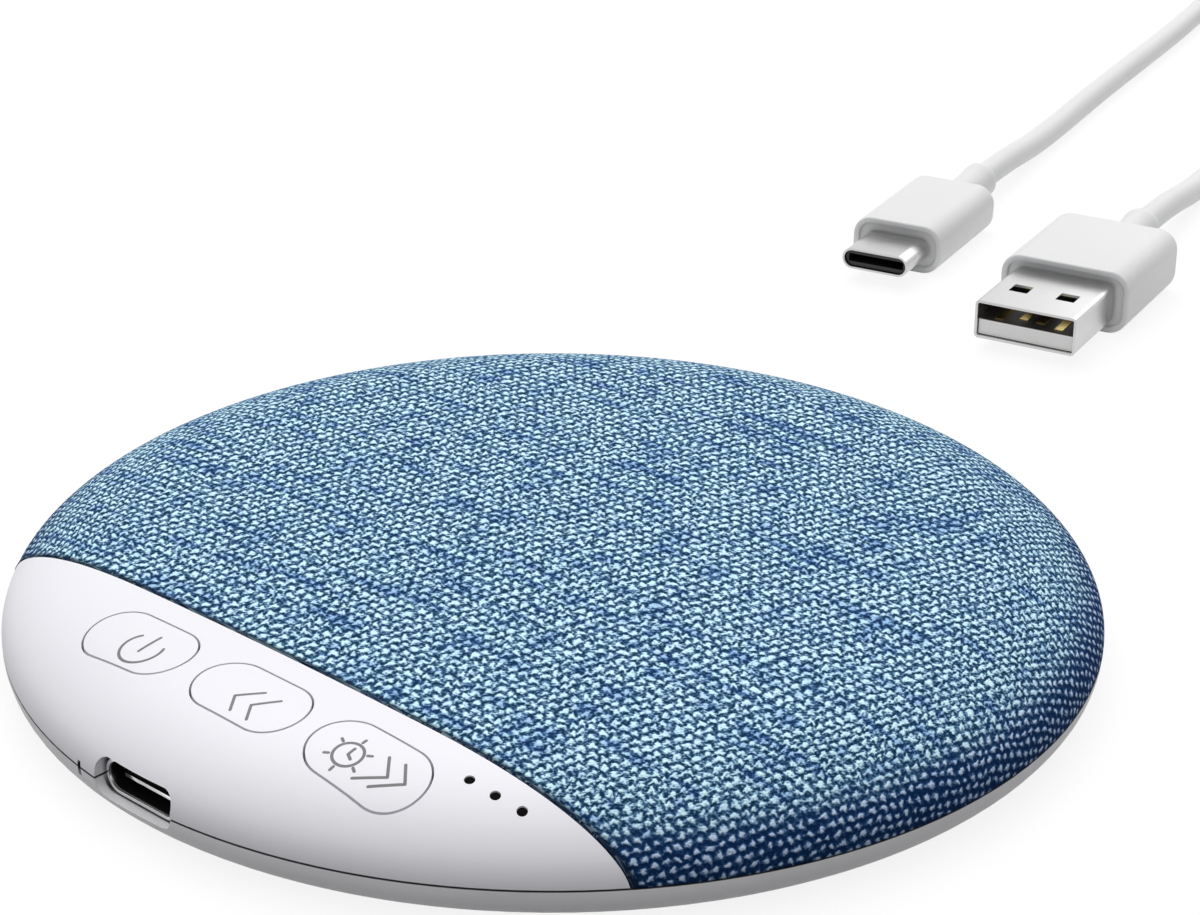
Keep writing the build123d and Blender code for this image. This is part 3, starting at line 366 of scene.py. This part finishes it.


# ---- painted shade bound to a place on the object, such as the inside of a joint or of a mouth
shades = {
    "seam": (3.70, 3.76), "seamAbove": (3.96, 3.90),           # heights in the gap between the two halves
    "notchRight": (-6.862, -6.872), "notchLeft": (-7.338, -7.328), "notchY": (-45, -45.1),
    "notchTop": (4.3, 4.0), "notchLow": (3.0, 3.1), "gap": (0.03, 0.03, 0.035),
    "mouthX": (5.05, 5.0), "mouthY": (-46, -46.1), "mouthTop": (6.05, 6.0), "mouthLow": (1.4, 1.5),
    "mouthWall": (49.25, 48.3), "mouthShadeDepth": 0.85, "mouth": (0.10, 0.10, 0.10),
    "rim": (-48.68, -48.40), "tube": (0.010, 0.010, 0.011),    # of the port's steel
    "blade": (3.62, 3.68), "bladeShade": (0.03, 0.028, 0.025),   # of the large plug's insert
}


def within(tree, *bounds):
    # 1 where every value is past its bound, and 0 elsewhere
    share = None
    for value, bound in bounds:
        step = smoothStep(tree, value, *(edge * mm for edge in bound))
        share = step if share is None else mathNode(tree, "MULTIPLY", share, step)
    return share


def shadeWhere(material, share, colour):
    tree = material.node_tree
    base = tree.nodes["Principled BSDF"].inputs["Base Color"]
    tree.links.new(mixColours(tree, share, base.links[0].from_socket, colour), base)


def shadeHousing(material, seam):
    # painted shade inside the joint line, the small notch and the port's mouth
    tree = material.node_tree
    x, y, z = objectPlace(tree)[:3]
    notch = within(tree, (x, shades["notchLeft"]), (x, shades["notchRight"]), (y, shades["notchY"]),
                   (z, shades["notchTop"]), (z, shades["notchLow"]))
    gap = mathNode(tree, "MAXIMUM", within(tree, (z, seam)), notch)
    shadeWhere(material, gap, shades["gap"])
    across = mathNode(tree, "SQRT", mathNode(tree, "ADD", mathNode(tree, "MULTIPLY", x, x),
                                             mathNode(tree, "MULTIPLY", y, y)))
    mouth = within(tree, (across, shades["mouthWall"]), (mathNode(tree, "ABSOLUTE", x), shades["mouthX"]),
                   (y, shades["mouthY"]), (z, shades["mouthLow"]), (z, shades["mouthTop"]))
    shadeWhere(material, mathNode(tree, "MULTIPLY", mouth, shades["mouthShadeDepth"]), shades["mouth"])


def makePortSteel():
    # a bright drawn rim at the mouth, and behind it the tube in painted shade: near black and not metallic
    material = moulded("portSteel", (0.95, 0.95, 0.95), 0.25, metallic=1.0, tone=0.03, grain=500, depth=2e-6)
    tree = material.node_tree
    inside = within(tree, (objectPlace(tree)["Y"], shades["rim"]))
    shadeWhere(material, inside, shades["tube"])
    metal = tree.nodes["Principled BSDF"].inputs["Metallic"]
    tree.links.new(mathNode(tree, "SUBTRACT", 1, inside, clamp=True), metal)
    return material


def makePlugInsert():
    # white at the mouth, with painted shade on its top, where it lies in the dark of the shell
    material = moulded("plugInsert", (0.78, 0.77, 0.76), 0.5, tone=0.04)
    tree = material.node_tree
    shadeWhere(material, within(tree, (objectPlace(tree)["Z"], shades["blade"])), shades["bladeShade"])
    return material


shadeHousing(finishes["pale_base_plastic"], shades["seam"])
shadeHousing(finishes["pale_panel_plastic"], shades["seamAbove"])
ownFinish = {
    "charging_port_shell": makePortSteel(),
    "charging_port_tongue": moulded("tongueResin", (0.004, 0.004, 0.004), 0.8, tone=0.2, specular=0.02),
    "cable_a_plug_insert": makePlugInsert(),
}
slotOf = {part["node"]: part["material_slot"] for part in frame["record"]["subparts"]}
for name, node in nodes.items():
    node.data.materials.clear()
    node.data.materials.append(ownFinish.get(name) or finishes[slotOf[name]])
print("finishes on", len(nodes), "nodes")

# ---- housing's outline, the same as the solids have
housing = {"radius": 50.0, "seam": 3.9, "edgeRise": 6.6, "edgeRun": 14.0, "slope": 3.2}


def shoulderPoint():
    slope = math.tan(math.radians(housing["slope"]))
    angle = math.atan2(housing["edgeRise"], housing["edgeRun"] * slope)
    across = housing["radius"] - housing["edgeRun"] + housing["edgeRun"] * math.cos(angle)
    return across, housing["seam"] + housing["edgeRise"] * math.sin(angle), angle


def topHeight(across):
    # height of the housing's top over a distance from its middle, in mm
    rim, height = shoulderPoint()[:2]
    if across <= rim:
        crown = rim / math.sin(math.radians(housing["slope"]))
        return height + math.sqrt(crown ** 2 - across ** 2) - math.sqrt(crown ** 2 - rim ** 2)
    share = min(1, (across - housing["radius"] + housing["edgeRun"]) / housing["edgeRun"])
    return housing["seam"] + housing["edgeRise"] * math.sqrt(max(0, 1 - share ** 2))


def coverProfile(crownSteps, edgeSteps):
    rim, _, angle = shoulderPoint()
    crown = [rim * step / crownSteps for step in range(crownSteps + 1)]
    outline = [(across, topHeight(across)) for across in crown]
    for step in range(1, edgeSteps + 1):
        turnHere = angle * (1 - step / edgeSteps)
        outline.append((housing["radius"] - housing["edgeRun"] * (1 - math.cos(turnHere)),
                        housing["seam"] + housing["edgeRise"] * math.sin(turnHere)))
    return outline


# ---- cloth cover: a disc of cloth stretched over the grille and tucked in along the panel
def shareOf(value, start, length):
    return min(1, max(0, (value - start) / length))


def makeCloth():
    outline = coverProfile(cover["crown"], cover["edge"])
    runs = [0.0]
    for before, here in zip(outline, outline[1:]):
        tight = (cover["tighter"] - 1) * shareOf(here[0], cover["tightFrom"], cover["tightOver"])
        runs.append(runs[-1] + math.dist(before, here) * (1 + tight))
    bm = bmesh.new()
    turnedProfile(bm, [(across, 0, height) for across, height in outline], (0, 0, 1), cover["turns"])
    lean = math.radians(cover["lean"])
    forward = Vector((0, -math.cos(lean), -math.sin(lean)))
    down = Vector((0, math.sin(lean), -math.cos(lean)))
    middle = Vector((0, cover["edgeY"] + cover["fold"], cover["edgeZ"])) * mm
    bmesh.ops.bisect_plane(bm, geom=bm.verts[:] + bm.edges[:] + bm.faces[:], dist=1e-7,
                           plane_co=middle, plane_no=forward, clear_outer=True)
    bmesh.ops.recalc_face_normals(bm, faces=bm.faces)
    if sum(face.normal.z for face in bm.faces) < 0:
        bmesh.ops.reverse_faces(bm, faces=bm.faces)
    # the weave's own map: how far along the cloth, and which way, a point lies from the middle
    weave = bm.loops.layers.uv.new("weave")
    seat = {}
    for vert in bm.verts:
        here = (math.hypot(vert.co.x, vert.co.y) / mm, vert.co.z / mm)
        near = min(range(len(outline)), key=lambda n: math.dist(outline[n], here))
        along = runs[near]
        if 0 < near < len(outline) - 1:
            ahead = Vector(outline[near + 1]) - Vector(outline[near - 1])
            past = (Vector(here) - Vector(outline[near])).dot(ahead.normalized())
            along += past * (runs[near + 1] - runs[near - 1]) / ahead.length
        side = vert.co.xy.normalized() if here[0] > 1e-6 else Vector((0, 0))
        seat[vert] = Vector((side.x * along, side.y * along)) * mm
    # the fold: over the edge and down beside the panel
    chord = [edge for edge in bm.edges if edge.is_boundary
             and all(abs((v.co - middle).dot(forward)) < 1e-6 for v in edge.verts)]
    lowest = (housing["seam"] + cover["clear"]) * mm
    for ahead, sink in cover["foldSteps"]:
        grown = bmesh.ops.extrude_edge_only(bm, edges=chord)["geom"]
        fresh = vertsOf(grown)
        chord = [item for item in grown if isinstance(item, bmesh.types.BMEdge)
                 and all(v in fresh for v in item.verts)]
        step = ahead * cover["fold"]
        drop = sink * (cover["tuck"] if sink == 1.0 else cover["fold"])
        for vert in fresh:
            twin = next(e.other_vert(vert) for e in vert.link_edges if e.other_vert(vert) in seat)
            vert.co += (forward * step + down * drop) * mm
            if vert.co.z < lowest:
                vert.co -= down * (vert.co.z - lowest) / down.z
            seat[vert] = seat[twin] + Vector((0, -(step + drop))) * mm
    for face in bm.faces:
        for loop in face.loops:
            loop[weave].uv = seat[loop.vert]
    print("cloth area", round(sum(face.calc_area() for face in bm.faces), 6), "m2")
    piece = meshPiece("clothCover", bm, "housing", finishes["blue_cloth"], smooth=60)
    thick = piece.modifiers.new("thickness", "SOLIDIFY")
    thick.thickness = cover["thick"] * mm
    thick.offset = -1
    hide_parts("fabric_cover")


makeCloth()
print("cloth cover made")

# ---- button symbols: fine grey lines let into the caps, drawn flat and then laid on the housing's top
symbols = {
    "line": 0.27, "proud": 0.012, "sunk": 0.08, "segment": 0.25, "dotSides": 14, "arcStep": 8,
    "powerArc": ((-10.05, -39.9), 1.98, 139, 248), "powerBar": ((-9.98, -40.35), (-9.88, -37.95)),
    # each chevron by its lower end, its tip and its upper end
    "previous": (((3.17, -41.66), (2.05, -40.12), (3.81, -38.36)),
                 ((5.22, -41.72), (4.15, -40.22), (5.74, -38.38))),
    "next": (((17.17, -41.31), (19.4, -39.59), (18.0, -38.0)),
             ((18.79, -41.12), (20.99, -39.23), (19.61, -37.78))),
    "timer": (15.1, -39.75), "dial": 1.3, "hands": ((0, 0.75), (0.55, -0.3)), "ticks": 6, "tick": (1.62, 2.0),
}
symbolInk = moulded("symbolInk", (0.17, 0.165, 0.17), 0.6, tone=0.05, grain=2000)


def strokeDot(bm, place, radius):
    sides = symbols["dotSides"]
    made = bmesh.ops.create_circle(bm, cap_ends=True, segments=sides, radius=radius * mm)["verts"]
    bmesh.ops.translate(bm, verts=made, vec=(place[0] * mm, place[1] * mm, 0))


def strokeBar(bm, start, end):
    run = Vector(end) - Vector(start)
    count = max(2, int(run.length / symbols["segment"]))
    made = bmesh.ops.create_grid(bm, x_segments=count, y_segments=1, size=0.5)["verts"]
    bmesh.ops.scale(bm, verts=made, vec=(run.length * mm, symbols["line"] * mm, 1))
    bmesh.ops.rotate(bm, verts=made, cent=(0, 0, 0), matrix=Matrix.Rotation(math.atan2(run.y, run.x), 3, "Z"))
    middle = (Vector(start) + Vector(end)) / 2
    bmesh.ops.translate(bm, verts=made, vec=(middle.x * mm, middle.y * mm, 0))
    for place in (start, end):
        strokeDot(bm, place, symbols["line"] / 2)


def strokeArc(bm, middle, radius, start, sweep):
    # angles in degrees, counted from +X
    half = symbols["line"] / 2
    others = set(bm.verts)
    turnStart = Matrix.Rotation(math.radians(start), 3, "Z")
    ends = [bm.verts.new(turnStart @ Vector(((radius + side * half) * mm, 0, 0))) for side in (-1, 1)]
    edge = bm.edges.new(ends)
    bmesh.ops.spin(bm, geom=ends + [edge], cent=(0, 0, 0), axis=(0, 0, 1), angle=math.radians(sweep),
                   steps=int(sweep / symbols["arcStep"]), use_duplicate=False)
    strip = [vert for vert in bm.verts if vert not in others]
    bmesh.ops.translate(bm, verts=strip, vec=(middle[0] * mm, middle[1] * mm, 0))
    if sweep < 360:
        for angle in (math.radians(start), math.radians(start + sweep)):
            strokeDot(bm, (middle[0] + radius * math.cos(angle), middle[1] + radius * math.sin(angle)), half)


def strokeChevrons(bm, chevrons):
    for lower, tip, upper in chevrons:
        strokeBar(bm, tip, lower)
        strokeBar(bm, tip, upper)


def strokeTimer(bm):
    middle = Vector(symbols["timer"])
    strokeArc(bm, middle, symbols["dial"], 0, 360)
    for hand in symbols["hands"]:
        strokeBar(bm, middle, middle + Vector(hand))
    for tick in range(symbols["ticks"]):
        angle = 2 * math.pi * (tick + 0.5) / symbols["ticks"]
        side = Vector((math.cos(angle), math.sin(angle)))
        strokeBar(bm, *(middle + side * out for out in symbols["tick"]))


def finishSymbol(name, bm, body):
    bmesh.ops.recalc_face_normals(bm, faces=bm.faces)
    for face in bm.faces:
        if face.normal.z < 0:
            face.normal_flip()
    for vert in bm.verts:
        vert.co.z = (topHeight(math.hypot(vert.co.x, vert.co.y) / mm) + symbols["proud"]) * mm
    grown = bmesh.ops.extrude_face_region(bm, geom=bm.faces[:], use_keep_orig=True)["geom"]
    bmesh.ops.translate(bm, verts=vertsOf(grown), vec=(0, 0, -symbols["sunk"] * mm))
    bmesh.ops.recalc_face_normals(bm, faces=bm.faces)
    meshPiece(name, bm, body, symbolInk, smooth=30)


bm = bmesh.new()
strokeArc(bm, *symbols["powerArc"])
strokeBar(bm, *symbols["powerBar"])
finishSymbol("powerSymbol", bm, "power_button")
bm = bmesh.new()
strokeChevrons(bm, symbols["previous"])
finishSymbol("previousSymbol", bm, "previous_button")
bm = bmesh.new()
strokeChevrons(bm, symbols["next"])
strokeTimer(bm)
finishSymbol("timerSymbol", bm, "next_button")
print("button symbols made")

# ---- charging port: the end of the steel plate that lies in its tongue
port = {"tipY": -47.8, "tipZ": 4.02, "width": 6.4, "thick": 0.32, "proud": 0.05, "deep": 0.25,
        "round": 0.1, "roundSteps": 3}


def makeTonguePlate():
    bm = bmesh.new()
    bmesh.ops.create_cube(bm, size=1)
    size = Vector((port["width"], port["proud"] + port["deep"], port["thick"])) * mm
    bmesh.ops.scale(bm, verts=bm.verts, vec=size)
    uprights = [e for e in bm.edges if abs((e.verts[0].co - e.verts[1].co).z) > size.z / 2]
    rounded(bm, uprights, port["round"], port["roundSteps"])
    middle = (0, port["tipY"] + (port["deep"] - port["proud"]) / 2, port["tipZ"])
    bmesh.ops.translate(bm, verts=bm.verts, vec=Vector(middle) * mm)
    bmesh.ops.recalc_face_normals(bm, faces=bm.faces)
    bright = moulded("brightPlate", (0.95, 0.95, 0.95), 0.12, metallic=1.0, tone=0.02, grain=500, depth=2e-6)
    meshPiece("tonguePlate", bm, "housing", bright)


makeTonguePlate()
print("port made")

# ---- plugs: a place for each plug's back end, the way it points from there, and its grip's size
plugs = {
    "c": {"place": (-38.0, 113.7, 3.0), "heading": 104.3, "size": (18.0, 11.4, 6.0)},
    "a": {"place": (-12.6, 111.6, 3.75), "heading": 103.3, "size": (17.0, 15.6, 7.5)},
}
grip = {"corner": 2.4, "cornerSteps": 10, "rim": 0.75, "recess": 0.45, "backRound": 0.8, "backSteps": 5,
        "frontRound": 0.24, "frontSteps": 3}
# the collar behind a grip: how far along the cord, and how far out
collarOutline = [(-0.3, 2.15), (0.25, 1.99), (0.9, 1.96), (2.0, 1.98), (5.0, 2.1), (7.6, 2.2),
                 (8.1, 2.3), (9.0, 2.3), (9.3, 2.2), (9.46, 2.0), (9.5, 1.75), (9.45, 1.5)]
collarTurns = 40


def plugPiece(key, bm, kind, smooth):
    place = Matrix.Translation(Vector(plugs[key]["place"]) * mm)
    heading = Matrix.Rotation(math.radians(plugs[key]["heading"]), 4, "Z")
    bmesh.ops.recalc_face_normals(bm, faces=bm.faces)
    bmesh.ops.transform(bm, matrix=place @ heading, verts=bm.verts)
    return meshPiece(f"{key}Plug{kind}", bm, "housing", finishes["white_plug"], smooth)


def makeGrip(key):
    length, width, thickness = (side * mm for side in plugs[key]["size"])
    bm = bmesh.new()
    bmesh.ops.create_cube(bm, size=1)
    bmesh.ops.scale(bm, verts=bm.verts, vec=(length, width, thickness))
    bmesh.ops.translate(bm, verts=bm.verts, vec=(-length / 2, 0, 0))
    sides = [e for e in bm.edges if abs((e.verts[0].co - e.verts[1].co).x) > length / 2]
    rounded(bm, sides, grip["corner"], grip["cornerSteps"])
    # a rim round the front, and the recess that the shell comes out of
    front = min(bm.faces, key=lambda face: face.calc_center_median().x)
    bmesh.ops.inset_region(bm, faces=[front], thickness=grip["rim"] * mm, use_even_offset=True)
    front = min(bm.faces, key=lambda face: (round(face.calc_center_median().x, 6), -face.calc_area()))
    grown = bmesh.ops.extrude_face_region(bm, geom=[front])["geom"]
    bmesh.ops.translate(bm, verts=vertsOf(grown), vec=(grip["recess"] * mm, 0, 0))
    bmesh.ops.delete(bm, geom=[front], context="FACES_ONLY")
    back = [e for e in bm.edges if all(abs(v.co.x) < 1e-7 for v in e.verts)]
    rounded(bm, back, grip["backRound"], grip["backSteps"])
    rim = [e for e in bm.edges if all(abs(v.co.x + length) < 1e-7 for v in e.verts)
           and len(e.link_faces) == 2 and any(abs(f.normal.x) < 0.5 for f in e.link_faces)]
    rounded(bm, rim, grip["frontRound"], grip["frontSteps"])
    piece = plugPiece(key, bm, "Grip", smooth=35)
    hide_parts(f"cable_{key}_plug_body")
    return piece


def makeCollar(key):
    bm = bmesh.new()
    turnedProfile(bm, [(along, out, 0) for along, out in collarOutline], (1, 0, 0), collarTurns)
    bmesh.ops.holes_fill(bm, edges=[e for e in bm.edges if e.is_boundary], sides=0)
    piece = plugPiece(key, bm, "Collar", smooth=40)
    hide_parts(f"cable_{key}_strain_relief")
    return piece


grips = [makeGrip(key) for key in plugs]
collars = [makeCollar(key) for key in plugs]
print("plugs made")

# ---- charging cord: out of the small plug, round a tied coil and back to the large plug
cordRoute = {
    "fromSmall": [(-40.35, 122.91, 3.0), (-42.2, 130.15, 3.0), (-46.0, 144.5, 1.7), (-52.6, 168.0, 1.65),
                  (-60.6, 201.0, 1.7), (-66.0, 219.5, 1.8), (-68.6, 234.5, 2.1)],
    "toLarge": [(-33.0, 234.0, 5.3), (-33.4, 222.5, 5.2), (-32.6, 209.0, 2.3), (-30.4, 190.0, 1.7),
                (-25.9, 165.0, 1.65), (-20.1, 142.0, 1.75), (-16.6, 128.5, 3.75), (-14.79, 120.85, 3.75)],
    # turns of the coil: the first lies outside the second, and the rest on top of both
    "coil": (-50.0, 236.0), "outer": 18.6, "inner": 15.4, "top": 17.0, "low": 2.1, "high": 4.95,
    "turns": 2.5, "perTurn": 16, "stepIn": (0.92, 0.22), "climb": (1.93, 0.2),
    "radius": 1.6, "roundSteps": 8, "lengthSteps": 10,
}


def coilPoints():
    route = cordRoute
    count = route["perTurn"]
    grow = 1 / (0.75 + 0.25 * math.cos(2 * math.pi / count))  # a spline of order 3 runs inside its points
    points = []
    for step in range(1, int(route["turns"] * count)):
        turns = step / count
        climb = shareOf(turns, *route["climb"])
        across = route["outer"] + (route["inner"] - route["outer"]) * shareOf(turns, *route["stepIn"])
        across += (route["top"] - route["inner"]) * climb
        height = route["low"] + (route["high"] - route["low"]) * climb
        angle = math.pi - 2 * math.pi * turns
        points.append((route["coil"][0] + across * grow * math.cos(angle),
                       route["coil"][1] + across * grow * math.sin(angle), height))
    return points


def makeCord():
    points = cordRoute["fromSmall"] + coilPoints() + cordRoute["toLarge"]
    data = bpy.data.curves.new("chargingCord", "CURVE")
    data.dimensions = "3D"
    spline = data.splines.new("NURBS")
    spline.points.add(len(points) - 1)
    for slot, point in zip(spline.points, points):
        slot.co = (*(Vector(point) * mm), 1)
    spline.order_u = 3
    spline.use_endpoint_u = True
    data.bevel_depth = cordRoute["radius"] * mm
    data.bevel_resolution = cordRoute["roundSteps"]
    data.resolution_u = cordRoute["lengthSteps"]
    data.use_fill_caps = True
    data.materials.append(finishes["white_cord"])
    piece = bpy.data.objects.new("chargingCord", data)
    scene.collection.objects.link(piece)
    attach(piece, "housing")
    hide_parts("cable_c_run", "cable_coil", "cable_a_run")


makeCord()
print("cord made")

# ---- floor, world and lamps, in metres apart from the place on the floor
studio = {
    "floorSize": 2.0, "floorSeen": 0.95, "floorGlow": 0.87, "floorRough": 0.9, "floorSpecular": 0.1,
    "floorTone": 0.30, "cableFloor": (50, 60),   # the dim part of the floor, and where along Y it ends, in mm
    "horizon": 0.13, "zenith": 1.9, "brightFrom": 0.42, "fromRight": 0.9,
    # each lamp's name, place, size, power, and the point that it faces
    "lamps": (("keyLamp", (-0.35, 0.25, 0.75), (0.6, 0.6), 2.75, (0, 0, 0)),
              ("backLamp", (-0.1, 0.9, 0.45), (0.8, 0.4), 1.2, (0, 0.1, 0))),
}


def seenShare(tree):
    # 1 for what the camera sees, also in a mirror or through a clear piece
    path = addNode(tree, "ShaderNodeLightPath")
    seen = mathNode(tree, "ADD", path.outputs["Is Camera Ray"], path.outputs["Is Glossy Ray"])
    return mathNode(tree, "ADD", seen, path.outputs["Is Transmission Ray"], clamp=True)


def mixShaders(tree, share, first, second, target):
    mix = addNode(tree, "ShaderNodeMixShader")
    for socket, source in zip(mix.inputs, (share, first.outputs[0], second.outputs[0])):
        tree.links.new(source, socket)
    tree.links.new(mix.outputs[0], tree.nodes[target].inputs["Surface"])


def makeFloor():
    bm = bmesh.new()
    bmesh.ops.create_grid(bm, x_segments=1, y_segments=1, size=studio["floorSize"])
    mesh = bpy.data.meshes.new("floor")
    bm.to_mesh(mesh)
    bm.free()
    floor = bpy.data.objects.new("floor", mesh)
    scene.collection.objects.link(floor)
    material, tree, shader = startFinish("floorPaper")
    shader.inputs["Roughness"].default_value = studio["floorRough"]
    shader.inputs["Specular IOR Level"].default_value = studio["floorSpecular"]
    seen = seenShare(tree)
    dim, pale = ((studio[tone],) * 3 for tone in ("floorTone", "floorSeen"))
    # the light that it throws back is dim round the machine and bright round the cable
    bounce = mixColours(tree, within(tree, (objectPlace(tree)["Y"], studio["cableFloor"])), dim, pale)
    tree.links.new(mixColours(tree, seen, bounce, pale), shader.inputs["Base Color"])
    glow = addNode(tree, "ShaderNodeEmission", in_Strength=1.0)
    mixShaders(tree, mathNode(tree, "MULTIPLY", seen, studio["floorGlow"]), shader, glow, "Material Output")
    mesh.materials.append(material)


def makeWorld():
    world = bpy.data.worlds.new("studioWorld")
    scene.world = world
    world.use_nodes = True
    tree = world.node_tree
    way = addNode(tree, "ShaderNodeSeparateXYZ")
    tree.links.new(addNode(tree, "ShaderNodeTexCoord").outputs["Generated"], way.inputs[0])
    # brighter overhead than at the horizon, and less bright on the camera's right
    rise = smoothStep(tree, way.outputs["Z"], studio["brightFrom"], 1, studio["horizon"], studio["zenith"])
    right = mathNode(tree, "ADD", mathNode(tree, "MULTIPLY", way.outputs["X"], math.cos(turn)),
                     mathNode(tree, "MULTIPLY", way.outputs["Y"], math.sin(turn)))
    right = mathNode(tree, "MULTIPLY_ADD", mathNode(tree, "MAXIMUM", right, 0), -studio["fromRight"], 1)
    back = tree.nodes["Background"]
    white = addNode(tree, "ShaderNodeBackground", in_Strength=1.0)
    for light in (back, white):
        light.inputs["Color"].default_value = (1, 1, 1, 1)
    tree.links.new(mathNode(tree, "MULTIPLY", rise, right), back.inputs["Strength"])
    mixShaders(tree, seenShare(tree), back, white, "World Output")


def softLamp(name, place, size, power, aim):
    lamp = bpy.data.lights.new(name, "AREA")
    lamp.shape = "RECTANGLE"
    lamp.size, lamp.size_y = size
    lamp.energy = power
    holder = bpy.data.objects.new(name, lamp)
    scene.collection.objects.link(holder)
    holder.location = place
    holder.rotation_euler = (Vector(place) - Vector(aim)).to_track_quat("Z", "Y").to_euler()


makeFloor()
makeWorld()
for lampSettings in studio["lamps"]:
    softLamp(*lampSettings)
print("studio set")
